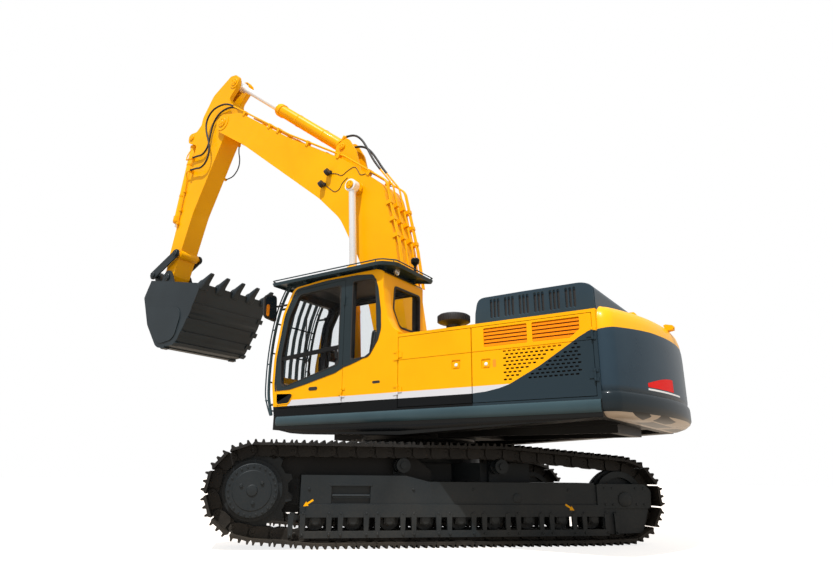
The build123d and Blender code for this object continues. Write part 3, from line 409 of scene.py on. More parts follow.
def noiseOn(tree, coordinates, scale, detail=4):
    noise = addNode(tree, "ShaderNodeTexNoise")
    noise.inputs["Detail"].default_value = detail
    tree.links.new(coordinates, noise.inputs["Vector"])
    feed(tree, noise.inputs["Scale"], scale)
    return noise.outputs[0]


def ramp(tree, value, low, high):
    node = addNode(tree, "ShaderNodeMapRange", clamp=True)
    for label, given in (("Value", value), ("From Min", low), ("From Max", high)):
        feed(tree, node.inputs[label], given)
    return node.outputs[0]


def makeDust():
    # Fine dust that settles on what faces up and on what is near the ground
    tree, start, end = newGroup("dust", [("Amount", 0.3), ("Reach", 0.8)], ["Mask"])
    place = objectPlace(tree)
    normal = addNode(tree, "ShaderNodeNewGeometry").outputs["Normal"]
    upward = ramp(tree, axesOf(tree, normal)[2], 0.35, 1.0)
    low = minus(tree, 1.0, ramp(tree, axesOf(tree, place)[2], 0.0, start.outputs["Reach"]))
    broad, fine = noiseOn(tree, place, 2.3, 5), noiseOn(tree, place, 38.0, 3)
    patch = ramp(tree, plus(tree, times(tree, broad, 0.7), times(tree, fine, 0.3)), 0.36, 0.66)
    load = plus(tree, times(tree, upward, 0.55), times(tree, low, 0.8))
    mask = mathNode(tree, "MULTIPLY", times(tree, load, patch), start.outputs["Amount"], clamp=True)
    tree.links.new(mask, end.inputs["Mask"])
    return tree


def makeWear():
    # Rubbed edges: where the rounded normal leaves the face's own, broken up by noise
    tree, start, end = newGroup("edgeWear", [("Radius", 0.01), ("Amount", 0.5)], ["Mask"])
    rounded = addNode(tree, "ShaderNodeBevel", samples=3)
    tree.links.new(start.outputs["Radius"], rounded.inputs["Radius"])
    angle = addNode(tree, "ShaderNodeVectorMath", operation="DOT_PRODUCT")
    tree.links.new(rounded.outputs[0], angle.inputs[0])
    tree.links.new(addNode(tree, "ShaderNodeNewGeometry").outputs["True Normal"], angle.inputs[1])
    edge = minus(tree, 1.0, ramp(tree, angle.outputs["Value"], 0.72, 0.98))
    chips = ramp(tree, noiseOn(tree, objectPlace(tree), 26.0, 6), 0.44, 0.6)
    mask = mathNode(tree, "MULTIPLY", times(tree, edge, chips), start.outputs["Amount"], clamp=True)
    tree.links.new(mask, end.inputs["Mask"])
    return tree


def makeMottle():
    # Slow changes of tone, and a fine skin such as sprayed paint or a casting has
    tree, start, end = newGroup("mottle", [("Tone Scale", 1.5), ("Skin Scale", 300.0)], ["Tone", "Skin"])
    place = objectPlace(tree)
    for label, detail in (("Tone", 5), ("Skin", 2)):
        noise = noiseOn(tree, place, start.outputs[label + " Scale"], detail)
        tree.links.new(noise, end.inputs[label])
    return tree


def makeWeave():
    # Two crossed threads, for the seat's cloth
    tree, start, end = newGroup("weave", [("Threads", 900.0)], ["Height"])
    place = objectPlace(tree)
    waves = []
    for direction in "XYZ":
        wave = addNode(tree, "ShaderNodeTexWave", bands_direction=direction)
        wave.inputs["Distortion"].default_value = 0.6
        tree.links.new(start.outputs["Threads"], wave.inputs["Scale"])
        tree.links.new(place, wave.inputs["Vector"])
        waves.append(wave.outputs["Fac"])
    tree.links.new(times(tree, plus(tree, waves[0], waves[1]), waves[2]), end.inputs["Height"])
    return tree


groups = {"dust": makeDust(), "wear": makeWear(), "mottle": makeMottle(), "weave": makeWeave()}


def useGroup(tree, name, **values):
    node = addNode(tree, "ShaderNodeGroup", node_tree=groups[name])
    for label, value in values.items():
        node.inputs[label.replace("_", " ")].default_value = value
    return node


def mixColour(tree, mask, below, above):
    node = addNode(tree, "ShaderNodeMix", data_type="RGBA")
    tree.links.new(mask, node.inputs["Factor"])
    for label, colour in (("A", below), ("B", above)):
        feed(tree, node.inputs[label], colour if hasattr(colour, "links") else (*colour, 1))
    return node.outputs["Result"]


dustColour = (0.3, 0.24, 0.17)
skinSockets = {"specular": "Specular IOR Level", "metal": "Metallic", "coat": "Coat Weight",
               "coatRough": "Coat Roughness", "sheen": "Sheen Weight", "sheenRough": "Sheen Roughness"}


def emptyMaterial(name, output="ShaderNodeOutputMaterial"):
    material = bpy.data.materials.new(name)
    material.use_nodes = True
    tree = material.node_tree
    tree.nodes.clear()
    return material, tree, addNode(tree, output)


def makeFinish(name, values, pattern=None):
    material, tree, end = emptyMaterial(name)
    skin = addNode(tree, "ShaderNodeBsdfPrincipled")
    tree.links.new(skin.outputs[0], end.inputs["Surface"])
    for label, socket in skinSockets.items():
        if label in values:
            skin.inputs[socket].default_value = values[label]
    mottle = useGroup(tree, "mottle", Tone_Scale=values.get("toneScale", 1.5),
            Skin_Scale=values.get("skinScale", 300.0))
    tone = ramp(tree, mottle.outputs["Tone"], 0.3, 0.7)
    colour = mixColour(tree, tone, values["dark"], values["light"])
    if pattern:
        colour = pattern(tree, colour)
    if "bare" in values:
        wear = useGroup(tree, "wear", Radius=values.get("wearRadius", 0.008), Amount=values["wear"]).outputs[0]
        colour = mixColour(tree, wear, colour, values["bare"])
    rough = plus(tree, values["rough"], times(tree, tone, 0.06))
    if values.get("dust"):
        dusty = useGroup(tree, "dust", Amount=values["dust"], Reach=0.9).outputs[0]
        colour = mixColour(tree, dusty, colour, dustColour)
        rough = mathNode(tree, "ADD", rough, times(tree, dusty, 0.4), clamp=True)
    tree.links.new(colour, skin.inputs["Base Color"])
    tree.links.new(rough, skin.inputs["Roughness"])
    bump = addNode(tree, "ShaderNodeBump")
    bump.inputs["Strength"].default_value = values["bump"]
    bump.inputs["Distance"].default_value = 0.002
    height = useGroup(tree, "weave").outputs["Height"] if values.get("woven") else mottle.outputs["Skin"]
    tree.links.new(height, bump.inputs["Height"])
    tree.links.new(bump.outputs[0], skin.inputs["Normal"])
    return material


yellow = {"dark": (0.83, 0.375, 0.0005), "light": (0.91, 0.425, 0.001), "rough": 0.3, "bump": 0.035, "dust": 0.05,
          "coat": 0.05, "coatRough": 0.05, "specular": 0.1}
slate = {"dark": (0.019, 0.037, 0.055), "light": (0.026, 0.049, 0.071), "rough": 0.26, "bump": 0.04, "dust": 0.06,
         "coat": 0.08, "coatRough": 0.06, "specular": 0.15}
finishes = {
    "yellowPaint": yellow,
    "slatePaint": slate,
    "underPaint": {**slate, "dark": (0.006, 0.01, 0.013), "light": (0.012, 0.018, 0.022), "rough": 0.46,
                   "dust": 0.1, "bare": (0.05, 0.048, 0.045), "wear": 0.25, "coat": 0, "specular": 0.3},
    "bucketPaint": {**slate, "dark": (0.01, 0.016, 0.021), "light": (0.017, 0.027, 0.034), "rough": 0.42,
                    "dust": 0.06, "bare": (0.07, 0.07, 0.07), "wear": 0.3, "coat": 0, "specular": 0.35},
    # Lighter slate for the deck rail: a painted highlight of sky light on its top
    "railSkyLitPaint": {**slate, "dark": (0.03, 0.056, 0.068), "light": (0.04, 0.072, 0.086), "rough": 0.22},
    "guardPaint": {**slate, "dark": (0.026, 0.046, 0.054), "light": (0.033, 0.056, 0.066)},
    "visorPaint": {**slate, "dark": (0.024, 0.044, 0.055), "light": (0.03, 0.054, 0.066), "rough": 0.3},
    "surroundPaint": {"dark": (0.014, 0.024, 0.029), "light": (0.019, 0.031, 0.037), "rough": 0.16, "bump": 0.01,
                      "specular": 0.25},
    "blackGloss": {"dark": (0.003, 0.004, 0.005), "light": (0.005, 0.006, 0.007), "rough": 0.24, "bump": 0.03,
                   "specular": 0.2},
    "blackPaint": {"dark": (0.003, 0.0035, 0.004), "light": (0.005, 0.006, 0.006), "rough": 0.4, "bump": 0.05,
                   "specular": 0.25},
    "trackSteel": {"dark": (0.01, 0.0095, 0.009), "light": (0.02, 0.019, 0.018), "rough": 0.5, "bump": 0.25,
                   "skinScale": 120.0, "toneScale": 6.0, "dust": 0.16, "bare": (0.14, 0.13, 0.12), "wear": 0.4,
                   "wearRadius": 0.006, "metal": 0.2, "specular": 0.25},
    # Chrome rods and lock: a near-white, mostly non-metal base that paints in chrome's white reflection
    "rodChrome": {"dark": (0.9, 0.92, 0.95), "light": (0.95, 0.96, 0.98), "rough": 0.12, "bump": 0.01, "metal": 0.25},
    "blackPlastic": {"dark": (0.012, 0.012, 0.013), "light": (0.018, 0.018, 0.02), "rough": 0.48, "bump": 0.12,
                     "skinScale": 700.0},
    "rubber": {"dark": (0.01, 0.01, 0.01), "light": (0.016, 0.016, 0.016), "rough": 0.55, "bump": 0.08,
               "skinScale": 500.0},
    "seatCloth": {"dark": (0.022, 0.024, 0.028), "light": (0.04, 0.043, 0.048), "rough": 0.8, "bump": 0.4,
                  "woven": True, "sheen": 0.3, "sheenRough": 0.5},
    # Louvre slats: deep orange as painted shade on blades that face down
    "slatShadeOrange": {"dark": (0.8, 0.2, 0.001), "light": (0.86, 0.25, 0.002), "rough": 0.4, "bump": 0.04,
                   "specular": 0.1},
    "mirrorDark": {"dark": (0.01, 0.016, 0.022), "light": (0.016, 0.024, 0.032), "rough": 0.06, "bump": 0.0},
    "orangePlastic": {"dark": (0.78, 0.24, 0.004), "light": (0.86, 0.29, 0.006), "rough": 0.38, "bump": 0.05},
    "whitePaint": {"dark": (0.72, 0.74, 0.75), "light": (0.8, 0.82, 0.83), "rough": 0.3, "bump": 0.03},
    "redReflector": {"dark": (0.62, 0.004, 0.003), "light": (0.74, 0.008, 0.004), "rough": 0.4, "bump": 0.1,
                     "skinScale": 900.0, "specular": 0.1},
    "amberLens": {"dark": (0.75, 0.22, 0.01), "light": (0.85, 0.28, 0.015), "rough": 0.12, "bump": 0.2,
                  "skinScale": 600.0, "coat": 1.0},
    "lampLens": {"dark": (0.6, 0.62, 0.64), "light": (0.75, 0.77, 0.78), "rough": 0.08, "bump": 0.3,
                 "skinScale": 500.0, "metal": 0.6, "coat": 1.0},
}

livery = {
    "stripe": (1.6, 1.675),
    "stripeFront": 1.1,
    "slateFrom": -1.66,
    "tallest": 4.0,
    "sideFrom": 1.34,
    "inside": ((-0.424, 1.31), (0.563, 1.44), (1.5, 3.212)),
    "seams": [((-0.25, 1.04), (1.36, 1.5), (2.28, 3.19)), ((0.1, 0.26), (1.36, 1.5), (2.06, 2.3)), ((1.3, 1.338),
        (0.6, 1.44), (1.6, 2.4))],
    "sweep": [(-3.05, 2.14), (-3.0, 2.15), (-2.89, 2.1), (-2.67, 1.97), (-2.45, 1.84), (-2.22, 1.73), (-2.1, 1.672),
        (-1.98, 1.638), (-1.82, 1.612), (-1.64, 1.6), (1.4, 1.6)],
    "white": (0.6, 0.61, 0.645),
    "slate": (0.019, 0.033, 0.044),
    "black": (0.005, 0.006, 0.007),
    "lining": (0.02, 0.019, 0.023),
}


def liveryPattern(tree, colour):
    # White stripe, black band under it and the slate sweep at the tail, on the outer sides only
    x, y, z = machineAxes(tree)
    side = isOver(tree, mathNode(tree, "ABSOLUTE", y), livery["sideFrom"])
    sweep, tallest = livery["sweep"], livery["tallest"]
    first, last = sweep[0][0], sweep[-1][0]
    curve = addNode(tree, "ShaderNodeFloatCurve")
    line = curve.mapping.curves[0]
    line.points[0].location = (0, sweep[0][1] / tallest)
    line.points[1].location = (1, sweep[-1][1] / tallest)
    for px, pz in sweep[1:-1]:
        line.points.new((px - first) / (last - first), pz / tallest)
    for point in line.points:
        point.handle_type = "VECTOR"
    curve.mapping.update()
    tree.links.new(ramp(tree, x, first, last), curve.inputs["Value"])
    below = isUnder(tree, z, times(tree, curve.outputs[0], tallest))
    tone = mixColour(tree, isUnder(tree, x, livery["slateFrom"]), livery["black"], livery["slate"])
    colour = mixColour(tree, times(tree, below, side), colour, tone)
    low, high = livery["stripe"]
    slant = minus(tree, livery["stripeFront"], minus(tree, z, low))
    stripe = times(tree, insideBox(tree, [z], [(low, high)]), minus(tree, 1.0, below), isUnder(tree, x, slant), side)
    colour = mixColour(tree, stripe, colour, livery["white"])
    for box in [livery["inside"]] + livery["seams"]:
        colour = mixColour(tree, insideBox(tree, (x, y, z), box), colour, livery["lining"])
    return colour


materials = {name: makeFinish(name, values) for name, values in finishes.items()}
materials["housePaint"] = makeFinish("housePaint", yellow, liveryPattern)


def makeGlass(name, tint, rough):
    material, tree, end = emptyMaterial(name)
    gloss = addNode(tree, "ShaderNodeBsdfPrincipled")
    gloss.inputs["Roughness"].default_value = rough
    gloss.inputs["Base Color"].default_value = (*tint, 1)
    gloss.inputs["Specular IOR Level"].default_value = 0.7
    clear = addNode(tree, "ShaderNodeBsdfTransparent")
    clear.inputs["Color"].default_value = (0.95, 0.96, 0.965, 1)
    blend = addNode(tree, "ShaderNodeMixShader")
    edge = addNode(tree, "ShaderNodeFresnel")
    edge.inputs["IOR"].default_value = 1.5
    weight = mathNode(tree, "ADD", times(tree, edge.outputs[0], 0.6), 0.03, clamp=True)
    # Only the face turned to the viewer reflects
    front = minus(tree, 1.0, addNode(tree, "ShaderNodeNewGeometry").outputs["Backfacing"])
    tree.links.new(times(tree, weight, front), blend.inputs[0])
    tree.links.new(clear.outputs[0], blend.inputs[1])
    tree.links.new(gloss.outputs[0], blend.inputs[2])
    tree.links.new(blend.outputs[0], end.inputs["Surface"])
    return material


materials["windowGlass"] = makeGlass("windowGlass", (0.02, 0.03, 0.035), 0.03)
for piece in hosePieces:
    piece.data.materials.append(materials["rubber"])
print("materials made:", len(materials))


# Finishes of the CAD nodes that stay, with softly rounded edges

nodeFinish = {
    ("underPaint", 0.01): ["track_frame_left", "track_frame_right"],
    ("underPaint", 0.008): ["car_body"],
    ("underPaint", 0.006): ["sprocket_left", "sprocket_right", "idler_left", "idler_right"],
    ("underPaint", 0.005): ["rollers_left", "rollers_right"],
    ("blackPaint", 0.01): ["main_frame", "engine_block"],
    ("blackPaint", 0.004): ["slew_ring"],
    ("blackPaint", 0.003): ["exhaust"],
    ("housePaint", 0.01): ["tanks", "tool_box"],
    ("housePaint", 0.008): ["cab_shell"],
    ("housePaint", 0.006): ["house_panels", "cab_door"],
    ("windowGlass", 0.0): ["cab_windows", "door_window"],
    ("yellowPaint", 0.008): ["boom", "arm"],
    ("yellowPaint", 0.006): ["handrails", "boom_cylinder_left", "boom_cylinder_right", "arm_cylinder",
        "bucket_cylinder"],
    ("yellowPaint", 0.0): ["boom_pipes"],
    ("rodChrome", 0.004): ["boom_rod_left", "boom_rod_right", "arm_rod", "bucket_rod"],
    ("bucketPaint", 0.006): ["rocker", "bucket_link", "bucket"],
    ("blackPlastic", 0.006): ["work_lamps"],
}
for (finish, soft), names in nodeFinish.items():
    for name in names:
        node = nodes[name]
        node.data.materials.clear()
        node.data.materials.append(materials[finish])
        if soft:
            weld = node.modifiers.new("weld", "WELD")
            weld.merge_threshold = 0.0002
            softenEdges(node, soft)
print("nodes finished:", sum(len(names) for names in nodeFinish.values()))


# Tracks: shoes with three grousers, and the chain they are bolted to

track = {
    "halfBase": 2.15, "gauge": 2.74, "halfShoe": 0.3, "pitch": 0.216, "pinDepth": 0.116, "firstPin": 0.35,
    "wheels": [(2.15, 0.58, 0.527), (-2.15, 0.5, 0.49), (1.466, 0.2833, 0.2833), (-1.758, 0.2833, 0.2833),
        (-0.679, 0.8537, 0.2533)],
    "shoe": [(-0.112, 0.056), (0.112, 0.056), (0.112, 0.066), (0.104, 0.08), (0.099, 0.086), (0.092, 0.116),
        (0.076, 0.116), (0.067, 0.086), (0.02, 0.083), (0.009, 0.116), (-0.009, 0.116), (-0.02, 0.083),
        (-0.067, 0.086), (-0.076, 0.116), (-0.092, 0.116), (-0.099, 0.086), (-0.106, 0.078), (-0.119, 0.062),
        (-0.118, 0.05)],
    "link": [(-0.146, 0.022), (-0.14, -0.024), (-0.112, -0.042), (-0.062, -0.057), (0.03, -0.057), (0.052, -0.02),
        (0.052, 0.056), (-0.096, 0.056), (-0.132, 0.046)],
    "linkNear": (0.05, 0.078), "linkFar": (0.078, 0.106), "bushing": 0.033, "pinEnd": 0.024,
}


def trackPins(values):
    # Pin places evenly along the tight loop round the wheels
    cloud = []
    for x, z, radius in values["wheels"]:
        reach = radius - values["pinDepth"]
        cloud += [(x + reach * cos(2 * pi * i / 360), z + reach * sin(2 * pi * i / 360)) for i in range(360)]
    cloud.sort()
    hull = []
    for part in (cloud, cloud[::-1]):
        side = []
        for p in part:
            while len(side) > 1 and ((side[-1][0] - side[-2][0]) * (p[1] - side[-2][1])
                                     <= (side[-1][1] - side[-2][1]) * (p[0] - side[-2][0])):
                side.pop()
            side.append(p)
        hull += side[:-1]
    spans = [hypot(b[0] - a[0], b[1] - a[1]) for a, b in zip(hull, hull[1:] + hull[:1])]
    count = round(sum(spans) / values["pitch"])
    step = sum(spans) / count
    pins, walked, target = [], 0.0, step * values["firstPin"]
    for a, b, span in zip(hull, hull[1:] + hull[:1], spans):
        while target <= walked + span:
            t = (target - walked) / span
            pins.append((a[0] + (b[0] - a[0]) * t, a[1] + (b[1] - a[1]) * t))
            target += step
        walked += span
    return pins[:count]


def makeTrack(values, side, word):
    pins = trackPins(values)
    place = underAt @ Matrix.Translation((0, side * values["gauge"] / 2, 0))
    shoes, chain = bmesh.new(), bmesh.new()
    half = values["halfShoe"]
    thick = values["pinEnd"]
    thin = thick - 0.006
    for (ax, az), (bx, bz) in zip(pins, pins[1:] + pins[:1]):
        mid = Vector(((ax + bx) / 2, (az + bz) / 2))
        along = Vector((bx - ax, bz - az)).normalized()
        out = Vector((along.y, -along.x))
        loop = [mid + along * s + out * h for s, h in values["shoe"]]
        addSlab(shoes, [(p.x, p.y) for p in loop], -half, half)
        for sy in (-1, 1):
            for flip, span in ((1, values["linkNear"]), (-1, values["linkFar"])):
                outline = [mid + along * s * flip + out * h for s, h in values["link"]]
                low, high = sorted((sy * span[0], sy * span[1]))
                addSlab(chain, [(p.x, p.y) for p in outline], low, high)
            for s in (-0.043, 0.043):
                spot = mid + along * s + out * 0.071
                addTurned(shoes, (spot.x, sy * 0.079, spot.y), (out.x, 0, out.y),
                        [(0, 0.016), (0.012, 0.016), (0.014, 0.013)], 6)
        addRod(chain, (ax, -0.06, az), (ax, 0.06, az), values["bushing"], 14)
        addTurned(chain, (ax, -0.112, az), (0, 1, 0), [(0, thin), (0.005, thick), (0.219, thick), (0.224, thin)], 14)
    addPiece("trackShoes_" + word, shoes, "trackSteel", "undercarriage", place, replaced=("track_loop_" + word,))
    addPiece("trackChain_" + word, chain, "trackSteel", "undercarriage", place)


for side, word in sides:
    makeTrack(track, side, word)
print("tracks laid")


# Track frames: guards, brackets, covers and bolts

under = {
    "outer": 0.215, "firstRoller": 1.466, "pitch": 0.403, "rollers": 9, "guard": (0.105, 0.175), "plateLow": 0.33,
    "plateHigh": 0.44,
    "sprocketZ": 0.58, "idlerZ": 0.5, "rollerZ": 0.2833,
    # Black plates on the frames' inner side: painted shade between the frame and the upper run
    "shrouds": [([(0.1, 0.66), (1.88, 0.66), (1.88, 0.9, 0.05), (1.7, 0.965, 0.05), (0.3, 0.955, 0.05),
        (0.1, 0.8, 0.05)], -0.205, -0.17), ([(1.58, 0.34), (1.96, 0.34), (1.96, 0.66), (1.58, 0.66)],
        -0.205, -0.172)],
    "arrow": [(-0.062, -0.01), (0.01, -0.01), (0.01, -0.026), (0.062, 0.0), (0.01, 0.026), (0.01, 0.01),
        (-0.062, 0.01)],
    "marks": [(1.555, 0.455, radians(-32)), (-1.445, 0.41, radians(212))],
}


def frameTrim(values, side, word):
    place = underAt @ Matrix.Translation((0, side * track["gauge"] / 2, 0)) @ Matrix.Diagonal((1, side, 1, 1))
    outer, first, pitch = values["outer"], values["firstRoller"], values["pitch"]
    last = first - (values["rollers"] - 1) * pitch
    guardLow, guardHigh = values["guard"]
    plateLow, plateHigh = values["plateLow"], values["plateHigh"]
    shape = bmesh.new()
    # Lower side plate with its flange, and the long guard that keeps stones off the rollers
    for low, high, wide, narrow, round, back, front in (
            (plateLow - 0.02, plateHigh, 0.13, 0.1, 0.02, -0.004, 0.026),
            (guardLow, guardHigh, 0.16, 0.12, 0.03, 0.012, 0.038)):
        loop = [(last - wide, low, round), (first + wide, low, round), (first + narrow, high, 0.03),
                (last - narrow, high, 0.03)]
        addSlab(shape, roundedLoop(loop), outer + back, outer + front)
    for i in range(values["rollers"] + 1):
        for offset in (-0.062, 0.062):
            u = first - (i - 0.5) * pitch + offset
            low = [(u - 0.022, guardLow + 0.01), (u + 0.022, guardLow + 0.01), (u + 0.03, plateLow + 0.02),
                    (u - 0.03, plateLow + 0.02)]
            addSlab(shape, low, outer - 0.004, outer + 0.034)
            for z, out in ((guardLow + 0.035, 0.038), (plateLow + 0.02, 0.026)):
                addBolt(shape, (u, outer + out, z), (0, 1, 0), 0.013)
    # Roller shaft ends with their caps
    for i in range(values["rollers"]):
        addTurned(shape, (first - i * pitch, outer - 0.03, values["rollerZ"]), (0, 1, 0),
                  [(0, 0.06), (0.016, 0.06), (0.022, 0.046), (0.03, 0.046), (0.034, 0.02)], 20)
    # Step with a bar in the recess, and a small round plate farther back
    addSlab(shape, roundedLoop([(0.86, 0.632, 0.02), (1.33, 0.632, 0.02), (1.33, 0.655, 0.01), (0.86, 0.655, 0.01)]),
            outer - 0.02, outer + 0.006)
    addRod(shape, (0.89, outer - 0.008, 0.53), (1.3, outer - 0.008, 0.53), 0.014)
    addTurned(shape, (-0.82, outer - 0.002, 0.51), (0, 1, 0), [(0, 0.052), (0.01, 0.052), (0.013, 0.044)], 24)
    # Final drive cover: stepped disc with rings of bolts
    hub = (track["halfBase"], 0.262, values["sprocketZ"])
    addTurned(shape, hub, (0, 1, 0), [(-0.02, 0.276), (0.006, 0.276), (0.014, 0.268), (0.016, 0.205), (0.022, 0.2),
            (0.026, 0.06), (0.036, 0.052), (0.04, 0.02)], 48)
    addBoltRing(shape, (hub[0], hub[1] + 0.014, hub[2]), (0, 1, 0), 0.245, 24, 0.011)
    addBoltRing(shape, (hub[0], hub[1] + 0.022, hub[2]), (0, 1, 0), 0.125, 3, 0.018, 0.4)
    # Idler yoke with its lower block
    yoke = roundedLoop([(-1.8, 0.4, 0.03), (-1.8, 0.672, 0.03), (-2.42, 0.672, 0.07), (-2.5, 0.6, 0.06),
            (-2.48, 0.4, 0.05)])
    addSlab(shape, yoke, outer - 0.004, outer + 0.022)
    addSlab(shape, roundedLoop([(-1.86, 0.18, 0.04), (-1.86, 0.405, 0.02), (-2.46, 0.405, 0.03), (-2.36, 0.13, 0.05),
            (-1.95, 0.12, 0.04)]), outer - 0.03, outer + 0.004)
    addTurned(shape, (-track["halfBase"], outer + 0.018, values["idlerZ"]), (0, 1, 0),
            [(0, 0.085), (0.014, 0.085), (0.022, 0.07), (0.028, 0.03)], 28)
    bolts = [(u, 0.0, 0.6, 0.014) for u in (1.55, 0.4, -0.3, -1.45)]
    bolts += [(u, 0.02, z, 0.013) for u in (-1.9, -2.0, -2.3, -2.4) for z in (0.445, 0.625)]
    for u, out, z, thick in bolts:
        addBolt(shape, (u, outer + out, z), (0, 1, 0), thick)
    addPiece("frameTrim_" + word, shape, "underPaint", "undercarriage", place, soft=0.003)
    # These black plates stand in for the shade under the track's upper run
    inner = bmesh.new()
    for loop, low, high in values["shrouds"]:
        addSlab(inner, roundedLoop(loop), low, high)
    addPiece("frameShadeFill_" + word, inner, "blackPaint", "undercarriage", place, soft=0.004)
    marks = bmesh.new()
    for u, z, lean in values["marks"]:
        c, s = cos(lean), sin(lean)
        addSlab(marks, [(u + a * c - b * s, z + a * s + b * c) for a, b in values["arrow"]], outer + 0.0265,
                outer + 0.0285)
    addPiece("frameMarks_" + word, marks, "yellowPaint", "undercarriage", place)


for side, word in sides:
    frameTrim(under, side, word)
print("track frames dressed")


# Counterweight: a casting that follows the tail swing

weight = {
    "front": -3.0603, "half": 1.475, "reach": 3.51, "corner": 0.17, "yellowFrom": 2.155, "rise": 0.055,
    # The lower band's darker colour is a painted dark reflection on the slate
    "risesTo": 3.4, "yellow": (0.93, 0.45, 0.005), "slotTo": 1.36, "darkReflectionTo": 1.552, "rim": (0.012, 0.02, 0.026),
    "pale": (0.4, 0.33, 0.26), "floorReflectionTo": 1.35, "slots": [(-3.36, -3.27, 0.88, 1.27), (-3.45, -3.33, 0.2, 0.72),
        (-3.3, -3.12, -0.3, 0.6), (-3.3, -3.12, -1.2, -0.55)],
    "layers": [(1.3, -0.2), (1.303, -0.115), (1.324, -0.052), (1.352, -0.016), (1.385, 0.0), (1.49, 0.0),
        (1.522, -0.004), (1.541, -0.014), (1.551, -0.03), (1.566, -0.026), (1.582, -0.02), (1.61, -0.018),
        (2.08, -0.02), (2.17, -0.024), (2.265, -0.036), (2.33, -0.055), (2.375, -0.085), (2.408, -0.13),
        (2.427, -0.19), (2.435, -0.28), (2.437, -0.41)],
}


def weightPlan(values, grow, steps=14):
    half = values["half"] + grow
    reach = values["reach"] + grow
    corner = values["corner"] + grow * 0.3
    # The corner's arc touches the straight side and the tail's arc
    middleY = half - corner
    middleX = -((reach - corner) ** 2 - middleY ** 2) ** 0.5
    turn = atan2(middleY, -middleX)
    loop = [(values["front"], half)]
    for i in range(steps + 1):
        angle = pi / 2 + (pi / 2 - turn) * i / steps
        loop.append((middleX + corner * cos(angle), middleY + corner * sin(angle)))
    for i in range(1, steps):
        angle = pi - turn + turn * i / steps
        loop.append((reach * cos(angle), reach * sin(angle)))
    loop.append((-reach, 0.0))
    # The small top rings stay behind the front face
    loop = loop[:1] + [(min(x, values["front"] - 0.001), y) for x, y in loop[1:]]
    return loop + [(x, -y) for x, y in reversed(loop[:-1])]


def makeWeight(values):
    shape = bmesh.new()
    rings = [[(x, y, z) for x, y in weightPlan(values, grow)] for z, grow in values["layers"]]
    addLoft(shape, rings)
    for side in (-1, 1):
        outline = roundedLoop([(-3.27, 2.415), (-3.11, 2.415), (-3.145, 2.48, 0.03), (-3.235, 2.48, 0.03)])
        addSlab(shape, outline, side * 0.62 - 0.022, side * 0.62 + 0.022)
    addPiece("counterweight", shape, "weightPaint", "house", smooth=50, replaced=("counterweight",))
    # Rear camera on the middle of the tail's top edge
    eye = bmesh.new()
    addSlab(eye, roundedLoop([(-3.5, 2.368, 0.006), (-3.42, 2.356), (-3.395, 2.425), (-3.42, 2.436, 0.01),
            (-3.5, 2.418, 0.01)]), -0.048, 0.048)
    addTurned(eye, (-3.498, 0.0, 2.392), (-1, 0, -0.1), [(0, 0.018), (0.008, 0.018), (0.01, 0.012)], 16)
    addPiece("rearCamera", eye, "yellowPaint", "house", soft=0.003)


def weightPattern(tree, colour):
    # Yellow top band round the tail, and a darker lower band whose dark is a painted reflection on the slate
    x, y, z = machineAxes(tree)
    back = ramp(tree, times(tree, x, -1.0), -weight["front"], weight["risesTo"])
    line = plus(tree, weight["yellowFrom"], times(tree, back, weight["rise"]))
    colour = mixColour(tree, isOver(tree, z, line), colour, weight["yellow"])
    # Darker lower band: painted dark reflection
    colour = mixColour(tree, isUnder(tree, z, weight["darkReflectionTo"]), colour, weight["rim"])
    # Pale beige underside: a painted reflection of the floor
    colour = mixColour(tree, isUnder(tree, z, weight["floorReflectionTo"]), colour, weight["pale"])
    # Black patches on the underside: painted shade for the slot openings
    for back, front, low, high in weight["slots"]:
        slot = times(tree, insideBox(tree, (x, y), ((back, front), (low, high))), isUnder(tree, z, weight["slotTo"]))
        colour = mixColour(tree, slot, colour, livery["black"])
    return colour


materials["weightPaint"] = makeFinish("weightPaint", slate, weightPattern)
makeWeight(weight)


# Red reflector with its pale line, on the tail's left quarter

def onTail(angle, z, out):
    reach = weight["reach"] - 0.02 + out
    return (reach * cos(angle), reach * sin(angle), z)


reflector = {"angles": (2.875, 3.055), "z": (1.622, 1.755), "line": (1.592, 1.61), "lineTo": 3.12}


def makeReflector(values):
    first, last = values["angles"]
    # Rows of name, height span, last angle, share of the height at the first angle, and finish
    for name, (low, high), last, least, finish in (
            ("tailReflector", values["z"], last, 0.3, "redReflector"),
            ("tailLine", values["line"], values["lineTo"], 1.0, "whitePaint")):
        rings = []
        for i in range(9):
            angle = first + (last - first) * i / 8
            top = low + (high - low) * (least + (1 - least) * sin(pi / 2 * i / 8))
            rings.append([onTail(angle, z, out) for z, out in ((low, -0.01), (low, 0.003), (top, 0.003),
                    (top, -0.01))])
        shape = bmesh.new()
        addLoft(shape, rings)
        addPiece(name, shape, finish, "house", smooth=60)


makeReflector(reflector)
print("tail done")


# Engine hood: plates with slots over a dark liner that paints in the shade behind the slots

hood = {
    "side": [(-1.48, 2.37), (-1.49, 2.6, 0.2), (-1.525, 2.785, 0.13), (-2.1, 2.79), (-2.8, 2.79, 0.3),
        (-2.925, 2.745, 0.1), (-2.93, 2.37)],
    "half": 1.05, "plate": 0.022, "slotLow": 2.52, "slotHigh": 2.745, "slotHalf": 0.013,
    "slotGroups": [-1.705 - 0.184 * i for i in range(6)], "slotPitch": 0.046,
}


def slotLoop(a, b, halfLong, halfWide, upright=False, steps=5):
    loop = []
    for end in (1, -1):
        for i in range(steps + 1):
            angle = -pi / 2 + pi * i / steps + (0 if end > 0 else pi)
            p = (end * (halfLong - halfWide) + halfWide * cos(angle), halfWide * sin(angle))
            loop.append((a + p[1], b + p[0]) if upright else (a + p[0], b + p[1]))
    return loop


